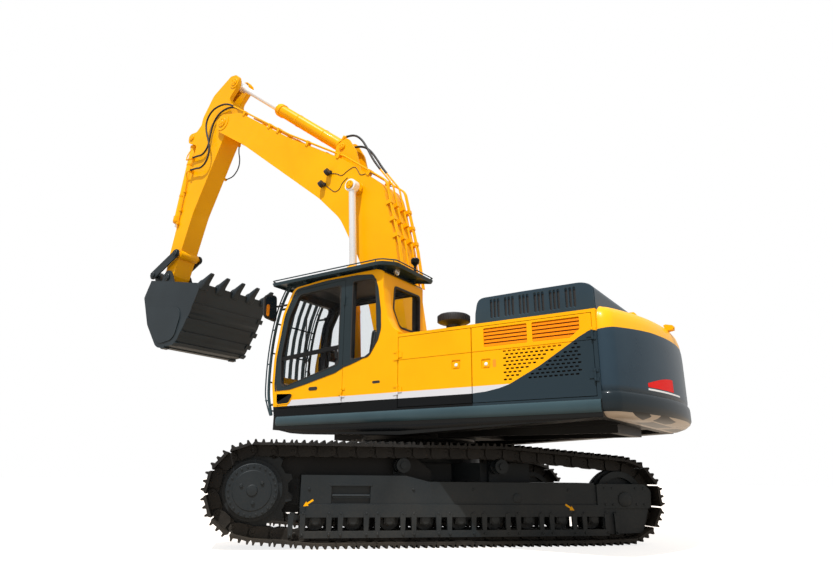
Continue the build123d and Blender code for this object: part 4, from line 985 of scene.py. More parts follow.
def makeHood(values):
    outline = roundedLoop(values["side"])
    middle = (values["slotLow"] + values["slotHigh"]) / 2
    long = (values["slotHigh"] - values["slotLow"]) / 2
    slots = [slotLoop(start - i * values["slotPitch"], middle, long, values["slotHalf"], True)
             for start in values["slotGroups"] for i in range(3)]
    half, plate = values["half"], values["plate"]
    shrink = 0.06
    inner = [(a + (shrink if a < -2.2 else -shrink), b - (shrink if b > 2.5 else 0)) for a, b in outline]
    core, shadeSheet = bmesh.new(), bmesh.new()
    addSlab(core, outline, -half + plate * 2.2, half - plate * 2.2)
    sheets = []
    for side in (-1, 1):
        low, high = sorted((side * (half - plate), side * half))
        sheets.append(plateMesh(outline, slots, low, high, 0.008))
        # The dark sheet inside each side plate is painted shade for the bay behind the slots
        low, high = sorted((side * (half - plate * 2.3), side * (half - plate * 0.95)))
        addSlab(shadeSheet, inner, low, high)
    addPiece("engineHood", joinMeshes(sheets + [toMesh(core)]), "slatePaint", "hood", soft=0.01,
            replaced=("engine_hood",))
    addPiece("hoodShadeSheet", shadeSheet, "blackPlastic", "hood")


makeHood(hood)

# Pre-cleaner: ribbed bowl, domed lid and its neck

def makePrecleaner():
    shape = bmesh.new()
    x, y = -1.11, 0.9
    profile = [(0.0, 0.15), (0.006, 0.165), (0.012, 0.098), (0.165, 0.094), (0.18, 0.12), (0.19, 0.18), (0.2, 0.195),
            (0.227, 0.2), (0.265, 0.2),
            (0.283, 0.196), (0.295, 0.18), (0.311, 0.12), (0.315, 0.05), (0.321, 0.04), (0.322, 0.012)]
    addTurned(shape, (x, y, 2.367), (0, 0, 1), profile, 48)
    ribs = 40
    for i in range(ribs):
        turn = Matrix.Translation((x, y, 0)) @ Matrix.Rotation(2 * pi * i / ribs, 4, "Z")
        addBox(shape, (0.192, -0.004, 2.57), (0.206, 0.004, 2.645), turn)
    addPiece("precleaner", shape, "blackPlastic", "house", soft=0.0015, replaced=("precleaner",))


makePrecleaner()
print("engine bay done")


# Side doors: plates with a crease, latches, louvres whose slats are painted deep orange as their shade, and a grille
# of short slots

doors = {
    "out": 1.475, "in": 1.435, "plate": 0.012, "low": 1.5, "high": 2.325, "crease": 2.05, "gap": 0.0025, "rim": 0.05,
    "frontSpan": (-1.65, -0.672), "rearSpan": (-3.014, -1.662), "hinges": (1.7, 2.11), "frontHinge": -0.669,
    "rearHinge": -3.017,
    "frontLatch": (-1.459, 1.927), "rearLatch": (-1.832, 1.907), "latch": 0.055,
    "louvres": [[(-2.32, 2.095, 0.01), (-1.81, 2.095, 0.01), (-1.81, 2.3, 0.01), (-2.32, 2.3, 0.01)],
        [(-2.89, 2.175, 0.02), (-2.785, 2.095, 0.03), (-2.38, 2.095, 0.01), (-2.38, 2.3, 0.01), (-2.89, 2.3, 0.01)]],
    "slats": 5,
    "grilleFront": -2.035, "grilleBack": -2.91, "grilleLow": 1.723, "rows": 9, "row": 0.038, "slotPitch": 0.056,
    "slot": (0.0195, 0.0085),
    "sweepLow": (-2.11, 1.67), "sweepHigh": (-2.89, 2.1), "bare": 0.042,
}


def grilleSlots(values):
    low, high = values["sweepLow"], values["sweepHigh"]
    slope = (high[1] - low[1]) / (high[0] - low[0])
    half, thin = values["slot"]
    slots = []
    for row in range(values["rows"]):
        z = values["grilleLow"] + row * values["row"]
        x = values["grilleFront"] - half - (row % 2) * values["slotPitch"] / 2
        while x - half > values["grilleBack"]:
            if abs(z - (low[1] + (x - low[0]) * slope)) > values["bare"]:
                slots.append(slotLoop(x, z, half, thin))
            x -= values["slotPitch"]
    return slots


def makeDoor(values, name, spanName, hingeName, leaf, latchName, node, body, matrix, openings):
    back, front = values[spanName]
    hinge = values[hingeName]
    latchX, latchZ = values[latchName]
    out, plate, crease, gap, rim, side = [values[key] for key in ("out", "plate", "crease", "gap", "rim", "latch")]
    low, high = values["low"], values["high"]
    latchHole = squareLoop(latchX - side, latchX + side, latchZ - side, latchZ + side, 0.012)
    louvreHoles = [roundedLoop(loop, 3) for loop in values["louvres"]] if openings else []
    slots = grilleSlots(values) if openings else []
    frameHoles = [squareLoop(back + rim, front - rim, crease + 0.02, high - 0.025),
            squareLoop(back + rim, front - rim, low + rim, crease - 0.02)]
    sheets = [plateMesh(squareLoop(back, front, crease + gap, high, 0.006), louvreHoles, out - plate, out, 0.003),
              plateMesh(squareLoop(back, front, low, crease - gap, 0.006), [latchHole] + slots, out - plate, out,
                  0.0022),
              plateMesh(squareLoop(back, front, low, high), frameHoles if openings else [], values["in"], out - plate,
                  0.001)]
    parts = bmesh.new()
    reach = 0.0297
    x0, x1 = sorted((hinge, hinge + leaf))
    for z in values["hinges"]:
        addTurned(parts, (hinge, out + 0.0123, z - reach), (0, 0, 1), [(0, 0.012), (2 * reach, 0.012)], 18)
        addBox(parts, (x0, out, z - reach), (x1, out + 0.008, z + reach))
    # Latch: a paddle in its recess
    addSlab(parts, squareLoop(latchX - side, latchX + side, latchZ - side, latchZ + side), out - plate - 0.004,
            out - plate + 0.002)
    paddle = squareLoop(latchX - side * 0.72, latchX + side * 0.72, latchZ - side * 0.55, latchZ + side * 0.62, 0.01)
    addSlab(parts, paddle, out - plate, out - 0.002)
    addPiece(name, joinMeshes(sheets + [toMesh(parts)]), "housePaint", body, matrix, replaced=(node,))
    lock = bmesh.new()
    addTurned(lock, (latchX, out - 0.004, latchZ), (0, 1, 0),
            [(0, 0.019), (0.005, 0.019), (0.008, 0.015), (0.009, 0.006)], 24)
    addPiece(name + "Lock", lock, "rodChrome", body, matrix)
    if not openings:
        return
    slats, dark = bmesh.new(), bmesh.new()
    for loop in values["louvres"]:
        x0, x1 = min(p[0] for p in loop) - 0.008, max(p[0] for p in loop) + 0.008
        z0, z1 = min(p[1] for p in loop), max(p[1] for p in loop)
        step = (z1 - z0) / values["slats"]
        for i in range(values["slats"]):
            foot = z0 + i * step
            blade = [(out - 0.01, foot + 0.002), (out - 0.005, foot + 0.004), (out - 0.01, foot + step - 0.012),
                     (out - 0.02, foot + step - 0.004), (out - 0.026, foot + step - 0.008)]
            addSlab(slats, blade, x0, x1, "x")
    # A dark sheet behind the louvres and grille: painted shade for the engine bay seen through them
    addBox(dark, (back + rim * 0.6, values["in"] - 0.004, low + 0.05),
            (front - rim * 0.6, values["in"] + 0.006, high - 0.02))
    # The slats' deep orange is painted shade
    addPiece(name + "Slats", slats, "slatShadeOrange", body, matrix)
    addPiece(name + "ShadeSheet", dark, "blackPlastic", body, matrix)
    if body == "left_rear_door":
        mark = bmesh.new()
        addSlab(mark, squareLoop(latchX - 0.12, latchX - 0.082, latchZ - 0.04, latchZ + 0.04, 0.004), out - 0.001,
                out + 0.001)
        addPiece("doorMark", mark, "orangePlastic", body, matrix)


# Rows of name, span, hinge, leaf, latch, CAD node, body, place and openings
for row in (
        ("doorLeftFront", "frontSpan", "frontHinge", -0.06, "frontLatch", "side_door_left_front", "left_front_door",
            houseAt, False),
        ("doorLeftRear", "rearSpan", "rearHinge", 0.06, "rearLatch", "side_door_left_rear", "left_rear_door", houseAt,
            True),
        ("doorRightRear", "rearSpan", "rearHinge", 0.06, "rearLatch", "side_door_right_rear", "right_rear_door",
            rightSide, True)):
    makeDoor(doors, *row)
print("side doors done")


# Deck edge: the rounded rail along both sides, in a lighter slate that paints in sky light, over the black skirt

deckEdge = {
    "span": (-3.05, 1.318),
    "profile": [(1.38, 1.474), (1.462, 1.4735), (1.48, 1.466), (1.491, 1.448), (1.495, 1.42), (1.494, 1.385),
        (1.488, 1.36), (1.477, 1.343), (1.458, 1.338), (1.38, 1.338)],
    "skirtProfile": [(1.38, 1.337), (1.468, 1.337), (1.474, 1.325), (1.474, 1.262), (1.466, 1.235), (1.445, 1.216),
        (1.38, 1.21)],
    "skirtSpan": (-3.05, 1.23),
}


def makeDeckEdge(values, matrix, word):
    back, front = values["span"]
    pulls = ((back, 0.0), (front - 0.06, 0.0), (front - 0.025, 0.012), (front - 0.005, 0.034), (front, 0.06))
    rail, skirt = bmesh.new(), bmesh.new()
    addLoft(rail, [[(x, y - pull, z) for y, z in values["profile"]] for x, pull in pulls])
    addPiece("deckRail_" + word, rail, "railSkyLitPaint", "house", matrix, smooth=50)
    back, front = values["skirtSpan"]
    top = values["skirtProfile"][0][1]
    lifts = ((back, 0.095), (back + 0.6, 0.06), (-0.7, 0.0), (0.6, 0.02), (1.02, 0.045), (front - 0.02, 0.095),
            (front, 0.112))
    addLoft(skirt, [[(x, y, min(top, z + lift * (top - z) / 0.125)) for y, z in values["skirtProfile"]]
                    for x, lift in lifts])
    addPiece("deckSkirt_" + word, skirt, "blackGloss", "house", matrix, smooth=50)


for matrix, word in ((houseAt, "left"), (rightSide, "right")):
    makeDeckEdge(deckEdge, matrix, word)
print("deck edges done")


# Cab: dark surround of the glass, rubbers, lining, guard, visor, mirror and beacon

cab = {
    "out": 1.475, "in": 0.558, "wall": 0.062, "back": -0.43, "floor": 1.4703,
    "bar": [(1.302, 2.205), (1.302, 2.262), (0.231, 2.333), (0.231, 2.276)],
    "doorBand": [(0.1795, 2.025), (0.3, 1.972, 0.2), (0.55, 1.918, 0.4), (0.8, 1.862, 0.4), (1.07, 1.812, 0.3),
        (1.311, 1.808, 0.03), (1.331, 1.9, 0.3), (1.326, 2.25, 0.6), (1.221, 2.83, 0.5), (1.036, 3.161, 0.12),
        (0.1795, 3.186, 0.02)],
    "shellBand": [(0.1755, 2.03), (0.06, 2.056, 0.2), (-0.1, 2.104, 0.2), (-0.28, 2.2, 0.15), (-0.37, 2.33, 0.15),
        (-0.412, 2.47, 0.2), (-0.402, 2.7, 0.5), (-0.352, 3.03, 0.4), (-0.27, 3.19, 0.08), (0.0, 3.222, 0.3),
        (0.5, 3.229, 0.5), (1.066, 3.196, 0.13), (1.249, 2.84, 0.5), (1.354, 2.25, 0.6), (1.359, 1.9, 0.3),
        (1.342, 1.806), (1.318, 1.806), (1.335, 1.9, 0.3), (1.33, 2.25, 0.6), (1.225, 2.831, 0.5),
        (1.04, 3.166, 0.12), (0.1755, 3.19)],
    "side": [(1.335, 1.4703, 0, -1, 1), (1.405, 1.9, 0.3, -1, 0), (1.4, 2.25, 0.6, -1, 0), (1.29, 2.86, 0.5, -1, 0),
        (1.11, 3.215, 0.16, -0.8, -1), (0.6, 3.252, 0, 0, -1), (-0.32, 3.248, 0, 0, -1), (-0.43, 3.215, 0.06, 1, -1),
        (-0.43, 1.4703, 0, 1, 1)],
    "doorGlass": [(0.245, 2.075, 0.06, 1, 1), (1.245, 1.83, 0.09, -1, 1), (1.275, 2.25, 0.6, -1, 0),
        (1.17, 2.8, 0.5, -1, 0), (1.0, 3.11, 0.09, -1, -1), (0.245, 3.13, 0.05, 1, -1)],
    "quarterGlass": [(-0.365, 2.33, 0.09, 1, 1), (-0.23, 2.13, 0.12, 0, 1), (0.06, 2.11, 0.03, -1, 1),
        (0.06, 3.15, 0.03, -1, -1), (-0.32, 3.14, 0.06, 1, -1)],
    "rightGlass": [(-0.3, 2.08, 0.06, 1, 1), (1.24, 2.08, 0.06, -1, 1), (1.18, 2.8, 0.3, -1, 0),
        (1.02, 3.12, 0.08, -1, -1), (-0.3, 3.12, 0.06, 1, -1)],
    "rearGlass": [(0.64, 2.545, 0.06, 1, 1), (1.1, 2.545, 0.12, 0, 1), (1.25, 2.76, 0.06, -1, 0),
        (1.225, 3.06, 0.06, -1, -1), (0.64, 3.06, 0.06, 1, -1)],
    "doorway": [(0.18, 1.6), (1.255, 1.6), (1.3, 1.9, 0.3), (1.296, 2.25, 0.6), (1.19, 2.82, 0.5),
        (1.015, 3.14, 0.12), (0.18, 3.15)],
    "latchSlot": (-0.352, 1.815), "handle": (0.66, 1.8), "pocket": [(1.3, 1.765), (1.01, 1.752, 0.03),
        (1.075, 1.64, 0.06), (1.29, 1.63, 0.03)],
}


def makeCabSkin(values):
    out, near, back = values["out"], values["in"], values["back"]
    door, small, right, rear = [values[key] for key in ("doorGlass", "quarterGlass", "rightGlass", "rearGlass")]
    dish = roundedLoop(values["pocket"])
    shifts = ((0.012, 0.012), (-0.012, 0.012), (-0.012, -0.012), (0.012, -0.012))
    brim = roundedLoop([(corner[0] + da, corner[1] + db, 0.03) for corner, (da, db) in zip(values["pocket"], shifts)])
    # Rows of name, finish, body, outline, holes, span across and edge radius
    for name, finish, body, outline, holes, low, high, edge in (
            ("doorSurround", "surroundPaint", "cab_door", roundedLoop(values["doorBand"]), [insetLoop(door, 0)],
                0.001, 0.006, 0.0018),
            ("cabSurround", "surroundPaint", "house", roundedLoop(values["shellBand"]), [insetLoop(small, 0)], 0.001,
                0.006, 0.0018),
            ("doorRubber", "rubber", "cab_door", insetLoop(door, 0), [insetLoop(door, 0.016)], -0.046, 0.009, 0.004),
            ("doorBar", "blackPaint", "cab_door", values["bar"], [], -0.024, 0.001, 0.003)):
        addPiece(name, plateMesh(outline, holes, out + low, out + high, edge), finish, body)
    rubbers = [plateMesh(insetLoop(small, 0), [insetLoop(small, 0.016)], out - 0.064, out + 0.009, 0.004),
               plateMesh(insetLoop(right, -0.012), [insetLoop(right, 0.014)], near - 0.006, near + 0.02, 0.004),
               plateMesh(insetLoop(rear, -0.014), [insetLoop(rear, 0.014)], back - 0.007, back + 0.02, 0.004, "x")]
    addPiece("cabRubbers", joinMeshes(rubbers), "rubber", "house")
    # Lining of walls, roof and floor, in dark plastic
    wall = values["wall"] + 0.003
    inside = insetLoop(values["side"], wall)
    lining = [plateMesh(inside, [insetLoop(right, -0.004)], near + wall, near + wall + 0.008, 0.002),
              plateMesh(inside, [roundedLoop(values["doorway"]), insetLoop(small, -0.004)], out - wall - 0.008,
                  out - wall, 0.002)]
    shape = bmesh.new()
    x0, y0, y1, z0 = back + wall, near + wall, out - wall, values["floor"] + wall
    addBox(shape, (x0, y0, 3.178), (0.98, y1, 3.186))
    addBox(shape, (x0, y0, z0), (1.26, y1, z0 + 0.012))
    addBox(shape, (x0, y0, z0), (x0 + 0.008, y1, 2.535))
    addPiece("cabLining", joinMeshes(lining + [toMesh(shape)]), "blackPlastic", "house")
    # Hand pocket with its rim, door handle and catch slot
    addPiece("cabPocket", plateMesh(dish, [], out - 0.001, out + 0.0024, 0.0007), "blackGloss", "cab_door")
    for name, place, body, long, thin, thick, soft in (
            ("doorHandle", "handle", "cab_door", 0.075, 0.022, 0.006, 0.002),
            ("catchSlot", "latchSlot", "house", 0.058, 0.016, 0.003, 0.001)):
        grip = bmesh.new()
        addSlab(grip, slotLoop(*values[place], long, thin), out - 0.001, out + thick)
        addPiece(name, grip, "blackPlastic", body, soft=soft)
    addPiece("pocketRim", plateMesh(brim, [dish], out - 0.001, out + 0.005, 0.002), "yellowPaint", "cab_door")


makeCabSkin(cab)
print("cab surround done")


# Windscreen guard: flat bars between two rounded posts

guard = {
    "line": [(1.452, 1.5), (1.52, 1.69), (1.542, 1.9), (1.54, 2.25), (1.5, 2.62), (1.425, 2.93), (1.33, 3.16),
        (1.24, 3.29)],
    "near": 1.405, "far": 0.628, "post": 0.02, "rail": 0.0095, "railOut": 0.062, "bars": 5, "barHalf": (0.007, 0.036),
    "cross": (1.56, 1.95, 2.35, 2.76), "crossRadius": 0.011,
    "arms": (1.7, 2.2, 2.68, 3.05),
}


def guardAt(values, z):
    for (ax, az), (bx, bz) in zip(values["line"], values["line"][1:]):
        if az <= z <= bz:
            return ax + (bx - ax) * (z - az) / (bz - az)
    return values["line"][-1][0]


def makeGuard(values):
    line, near, far, rail = [values[key] for key in ("line", "near", "far", "rail")]
    ends = (near, far)
    # A thin rail runs in front of each post, on short arms
    posts = [[(x, y, z) for x, z in line] for y in ends]
    rails = [[(x + values["railOut"] * min(1.0, (z - 1.44) / 0.15), y, z) for x, z in line] for y in ends]
    arms = [[(guardAt(values, z), y, z), (guardAt(values, z) + values["railOut"], y, z)] for z in values["arms"]
            for y in ends]
    rods = [[(guardAt(values, z) - 0.012, far, z), (guardAt(values, z) - 0.012, near, z)] for z in values["cross"]]
    tubes = [tubeMesh(posts, values["post"], sides=4), tubeMesh(rails, rail), tubeMesh(arms, rail, False),
             tubeMesh(rods, values["crossRadius"], False, 4)]
    shape = bmesh.new()
    thin, deep = values["barHalf"]
    for i in range(values["bars"]):
        y = far + (near - far) * (i + 1) / (values["bars"] + 1)
        corners = ((-deep, y - thin), (deep * 0.6, y - thin), (deep * 0.6, y + thin), (-deep, y + thin))
        addLoft(shape, [[(x + dx, across, z) for dx, across in corners] for x, z in line])
    for z, reach in ((1.64, 1.382), (2.96, 1.25)):
        for y in ends:
            addRod(shape, (reach, y, z), (guardAt(values, z), y, z), 0.015, 14)
            addTurned(shape, (reach - 0.004, y, z), (1, 0, 0), [(0, 0.03), (0.016, 0.03), (0.02, 0.026)], 20)
    addPiece("screenGuard", joinMeshes(tubes + [toMesh(shape)]), "guardPaint", "house", smooth=50,
            replaced=("front_guard",))


makeGuard(guard)


# Roof visor: a thin plate with a folded rim on a frame, four feet and a lamp under it

visor = {
    "plan": [(1.455, 0.585, 0.08), (1.455, 1.585, 0.05), (-0.455, 1.585, 0.16), (-0.6, 1.42, 0.1),
        (-0.56, 0.45, 0.04), (-0.38, 0.585)],
    "top": 3.318, "rim": 0.05, "rodLift": 0.022, "feet": [(-0.3, 0.7), (0.9, 0.7), (-0.3, 1.38), (0.9, 1.38)],
}


def makeVisor(values):
    plan = roundedLoop(values["plan"])
    top, rim = values["top"], values["rim"]
    shape = bmesh.new()
    loops = [(0.06, top - 0.01), (0.004, top - 0.006), (0.0, top - 0.01), (0.02, top - rim), (0.026, top - rim),
            (0.03, top - 0.018), (0.062, top - 0.02)]
    addLoft(shape, [[(a, b, z) for a, b in pulledIn(plan, amount)] for amount, z in loops])
    # A rod above the rim, on short studs
    rod = [(a, b, top + values["rodLift"]) for a, b in pulledIn(plan, 0.012)]
    shape.from_mesh(tubeMesh([rod + rod[:2]], 0.0085, False))
    for a, b, z in rod[::6]:
        addRod(shape, (a, b, top - 0.01), (a, b, z), 0.006, 8)
    # Cross members under the plate, and the feet
    for x in (-0.3, 0.3, 0.9):
        addBox(shape, (x - 0.025, 0.64, top - 0.062), (x + 0.025, 1.5, top - 0.02))
    for y in (0.7, 1.38):
        addBox(shape, (-0.4, y - 0.02, top - 0.06), (1.3, y + 0.02, top - 0.022))
    for x, y in values["feet"]:
        addBox(shape, (x - 0.03, y - 0.02, 3.236), (x + 0.03, y + 0.02, top - 0.03))
        addBox(shape, (x - 0.06, y - 0.045, 3.246), (x + 0.06, y + 0.045, 3.257))
    # Brackets that carry the front edge on the guard's posts
    for y in (0.64, 1.395):
        addSlab(shape, roundedLoop([(1.215, 3.262), (1.262, 3.262), (1.33, top - 0.026), (1.18, top - 0.026)]),
                y - 0.012, y + 0.012)
    addPiece("visor", shape, "visorPaint", "house", soft=0.002, smooth=40, replaced=("roof_visor",))
    lamp = bmesh.new()
    addTurned(lamp, (-0.385, 1.17, 3.292), (-1, 0, -0.25), [(0, 0.03), (0.01, 0.046), (0.05, 0.052), (0.054, 0.046),
            (0.058, 0.01)], 28)
    addPiece("visorLamp", lamp, "lampLens", "house")


makeVisor(visor)


# Mirror, beacon and wiper

def makeMirror():
    loop = roundedLoop([(1.45, 2.77, 0.05), (1.69, 2.795, 0.07), (1.712, 3.12, 0.08), (1.475, 3.158, 0.06)])
    shape, face, lens = bmesh.new(), bmesh.new(), bmesh.new()
    pulls = ((1.432, 0.012), (1.434, 0.002), (1.45, 0.0), (1.47, 0.014), (1.482, 0.045), (1.486, 0.085))
    addLoft(shape, [[(x, *p) for p in pulledIn(loop, pull)] for x, pull in pulls])
    addRod(shape, (1.21, 1.44, 3.002), (1.47, 1.452, 3.002), 0.014, 14)
    addRod(shape, (1.462, 1.448, 3.002), (1.462, 1.52, 2.98), 0.014, 14)
    addTurned(shape, (1.196, 1.44, 3.002), (1, 0, 0), [(0, 0.026), (0.02, 0.026), (0.024, 0.018)], 18)
    addPiece("mirror", shape, "blackPlastic", "house", replaced=("mirrors",))
    addLoft(face, [[(x, *p) for p in pulledIn(loop, pull)] for x, pull in ((1.4335, 0.026), (1.4305, 0.028))])
    addPiece("mirrorFace", face, "mirrorDark", "house")
    addSlab(lens, slotLoop(1.632, 2.91, 0.085, 0.026, True), 1.4272, 1.4312, "x")
    addPiece("mirrorLens", lens, "amberLens", "house", soft=0.001)


def makeBeacon():
    shape = bmesh.new()
    addTurned(shape, (-0.5, 0.86, 3.312), (0, 0, 1), [(0, 0.04), (0.012, 0.04), (0.02, 0.018), (0.11, 0.017),
            (0.135, 0.03), (0.15, 0.05), (0.16, 0.056), (0.205, 0.06),
            (0.212, 0.052), (0.222, 0.05), (0.224, 0.02)], 32)
    addPiece("beaconLamp", shape, "blackGloss", "house", smooth=45, replaced=("beacon",))


def makeWiper():
    shape = bmesh.new()
    addTurned(shape, (1.382, 0.7, 2.0), (1, 0, 0.05), [(0, 0.022), (0.018, 0.02), (0.022, 0.01)], 18)
    arm = tubeMesh([[(1.406, 0.7, 2.0), (1.41, 0.78, 2.3), (1.38, 0.9, 2.64)]], 0.007)
    blade = tubeMesh([[(1.372, 0.86, 2.23), (1.404, 0.88, 2.48), (1.352, 0.93, 2.96)]], 0.009)
    addPiece("wiper", joinMeshes([arm, blade, toMesh(shape)]), "blackPlastic", "house")


makeMirror()
makeBeacon()
makeWiper()
print("cab outside done")


# Working arm: pin caps, lamp glasses, wires, cylinder heads, arm pipes and the bucket's teeth

frontArm = {
    "caps": [("boom", (4.626, 7.593), 0.294, 0.105, 6), ("boom", (0.207, 2.072), 0.343, 0.1, 6),
        ("arm", (4.48, 8.54), 0.211, 0.085, 4), ("arm", (5.78, 7.66), 0.146, 0.066, 4),
        ("lift_rod_left", (1.0, 5.169), 0.505, 0.072, 4), ("rocker", (5.63, 4.94), 0.306, 0.07, 4),
        ("rocker", (6.29, 4.59), 0.302, 0.064, 4), ("bucket", (5.87, 4.49), 0.25, 0.074, 4), ("boom", (1.507, 6.171),
        0.141, 0.06, 4), ("house", (0.78, 1.5), 0.537, 0.075, 4)],
    "cylinders": [("arm_cylinder", "crowd_tube", (1.507, 6.171), (4.48, 8.54), 0.0, 0.112, 0.062, 2.25),
        ("boom_cylinder_left", "lift_tube_left", (0.78, 1.5), (1.0, 5.169), 0.435, 0.098, 0.056, 2.27),
        ("boom_cylinder_right", "lift_tube_right", (0.78, 1.5), (1.0, 5.169), -0.435, 0.098, 0.056, 2.27),
        ("bucket_cylinder", "tilt_tube", (5.78, 7.66), (6.29, 4.59), 0.0, 0.1, 0.055, 1.9)],
    "lamps": [(1.606, 5.629), (1.727, 5.437)],
    "wires": [[(1.585, 0.286, 5.61), (1.48, 0.284, 5.59), (1.36, 0.284, 5.5), (1.26, 0.284, 5.56),
        (1.09, 0.284, 5.62), (1.02, 0.284, 5.52), (0.96, 0.284, 5.4), (0.8, 0.284, 5.42), (0.64, 0.284, 5.33)],
        [(1.705, 0.286, 5.42), (1.6, 0.284, 5.33), (1.5, 0.284, 5.24), (1.39, 0.284, 5.27), (1.34, 0.284, 5.39),
        (1.23, 0.284, 5.44)]],
    "armPipes": [[(5.535, 0.284, 6.745), (5.6, 0.284, 6.745), (5.64, 0.262, 6.7), (5.65, 0.222, 6.6),
        (5.69, 0.216, 6.3), (5.745, 0.216, 5.92), (5.8, 0.216, 5.56)], [(5.675, 0.25, 7.055), (5.72, 0.25, 7.055),
        (5.745, 0.24, 7.1), (5.745, 0.2, 7.26), (5.745, 0.15, 7.35)]],
    "armClamps": [(5.682, 6.33), (5.742, 5.92), (5.786, 5.64)],
    "teeth": (-0.72, -0.36, 0.0, 0.36, 0.72), "toothRoot": (4.092, 3.908), "toothTip": (3.86, 4.104),
}


def addCap(shape, place, y, radius, count):
    for side in (-1, 1):
        addTurned(shape, (place[0], side * y, place[1]), (0, side, 0),
                  [(-0.004, radius), (0.008, radius), (0.014, radius - 0.006), (0.015, radius * 0.42),
                      (0.021, radius * 0.36), (0.022, 0.006)], 32)
        addBoltRing(shape, (place[0], side * (y + 0.014), place[1]), (0, side, 0), radius * 0.68, count, 0.011,
                pi / count)


def makeCaps(values):
    bodies = {}
    for body, place, y, radius, count in values["caps"]:
        addCap(bodies.setdefault(body, bmesh.new()), place, y, radius, count)
    for body, shape in bodies.items():
        if body != "lift_rod_left":
            addPiece("pinCaps_" + body, shape, "bucketPaint" if body in ("rocker", "bucket") else "yellowPaint", body,
                    soft=0.001)
            continue
        # This mesh holds both sides, and each half rides on its own rod
        for sign, word in sides:
            half = shape.copy()
            bmesh.ops.delete(half, geom=[v for v in half.verts if v.co.y * sign < 0], context="VERTS")
            addPiece("pinCaps_lift_" + word, half, "yellowPaint", "lift_rod_" + word, soft=0.001)
        shape.free()


def makeCylinderHeads(values):
    for name, body, foot, head, y, tube, rod, far in values["cylinders"]:
        span = Vector((head[0] - foot[0], 0, head[1] - foot[1])).normalized()
        start = Vector((foot[0], y, foot[1]))
        across = Vector((0, 1, 0))
        up = span.cross(across)
        shape = bmesh.new()
        # Head flange with its ring of bolts, the lip round the rod, and the collar at the base
        addTurned(shape, start + span * (far - 0.135), span, [
            (0, tube + 0.006), (0.004, tube + 0.016), (0.112, tube + 0.016), (0.118, tube + 0.01),
            (0.137, tube + 0.008),
            (0.139, rod + 0.026), (0.156, rod + 0.022), (0.158, rod + 0.002)], 40)
        addBoltRing(shape, start + span * (far + 0.001), span, tube - 0.012, 10, 0.013, 0, across, up)
        addTurned(shape, start + span * 0.15, span, [(0, tube + 0.002), (0.004, tube + 0.01), (0.05, tube + 0.01),
                (0.056, tube + 0.001)], 40)
        # Oil pipe along the barrel on the far side, with two straps
        lift = (up * (-0.5 if name == "bucket_cylinder" else 0.5) + across * (-0.86 if y <= 0 else 0.86)).normalized()
        rail = tube + 0.026
        run = [start + span * along + lift * out for along, out in (
            (0.19, tube - 0.01), (0.205, rail), (0.3, rail), (far - 0.26, rail), (far - 0.17, rail),
            (far - 0.15, tube - 0.01))]
        for share in (0.3, 0.68):
            at = start + span * (far * share)
            addTurned(shape, at, span, [(0, tube + 0.0005), (0.002, tube + 0.005), (0.036, tube + 0.005),
                    (0.038, tube + 0.0005)], 40)
            addTurned(shape, at - span * 0.001 + lift * rail, span, [(0, 0.02), (0.04, 0.02)], 16)
        addPiece("head_" + name, joinMeshes([toMesh(shape), tubeMesh([run], 0.0125)]), "yellowPaint", body, smooth=40)


def makeLamps(values):
    glass = bmesh.new()
    toward = Vector((sin(radians(115)), 0, cos(radians(115))))
    for x, z in values["lamps"]:
        for side in (-1, 1):
            spot = Vector((x + 0.03, side * 0.3423, z)) + toward * 0.034
            addTurned(glass, spot, toward, [(0, 0.05), (0.004, 0.05), (0.009, 0.036), (0.011, 0.01)], 28)
    addPiece("lampGlasses", glass, "lampLens", "boom")
    wires = [[(x, side * y, z) for x, y, z in run] for side in (1, -1) for run in values["wires"]]
    addPiece("lampWires", tubeMesh(wires, 0.0055, sides=2), "rubber", "boom")


def makeArmPipes(values):
    shape = bmesh.new()
    for x, z in values["armClamps"]:
        addBox(shape, (x - 0.034, 0.19, z - 0.022), (x + 0.034, 0.236, z + 0.022))
        for offset in (-0.022, 0.022):
            addBolt(shape, (x + offset, 0.236, z), (0, 1, 0), 0.009)
    addPiece("armPipes", joinMeshes([tubeMesh(values["armPipes"], 0.0125), toMesh(shape)]), "yellowPaint", "arm",
            soft=0.0015)


def makeTeeth(values):
    root, tip = Vector(values["toothRoot"]), Vector(values["toothTip"])
    along = (tip - root).normalized()
    out = Vector((-along.y, along.x))
    reach = (tip - root).length
    # Sections as (share of the reach, sideways lift, half thickness, half width)
    adapter = [(-0.16, 0.0, 0.066, 0.07), (-0.1, 0.0, 0.084, 0.086), (0.16, 0.0, 0.076, 0.082),
            (0.3, 0.0, 0.058, 0.068)]
    point = [(0.24, 0.0, 0.062, 0.068), (0.42, 0.002, 0.052, 0.058), (0.66, 0.006, 0.04, 0.048),
            (0.86, 0.009, 0.028, 0.042), (0.97, 0.01, 0.018, 0.038), (0.995, 0.01, 0.01, 0.034)]
    shape = bmesh.new()
    for y in values["teeth"]:
        for sections in (adapter, point):
            rings = []
            for share, lift, thick, wide in sections:
                middle = root + along * reach * share + out * lift
                ring = []
                for a, b in ((1, 0.6), (0.72, 1), (-0.72, 1), (-1, 0.6), (-1, -0.6), (-0.72, -1), (0.72, -1),
                        (1, -0.6)):
                    spot = middle + out * b * thick
                    ring.append((spot.x, y + a * wide, spot.y))
                rings.append(ring)
            addLoft(shape, rings)
        for side in (-1, 1):
            spot = root + along * reach * 0.27
            addTurned(shape, (spot.x, y + side * 0.066, spot.y), (0, side, 0),
                    [(0, 0.017), (0.01, 0.016), (0.013, 0.01)], 14)
    addPiece("bucketTeeth", shape, "bucketPaint", "bucket", soft=0.005, smooth=40, replaced=("bucket_teeth",))


makeCaps(frontArm)
makeCylinderHeads(frontArm)
makeLamps(frontArm)
makeArmPipes(frontArm)
makeTeeth(frontArm)
print("working arm dressed")


# Quarter panel: the pillar's foot that flares back into the side panel

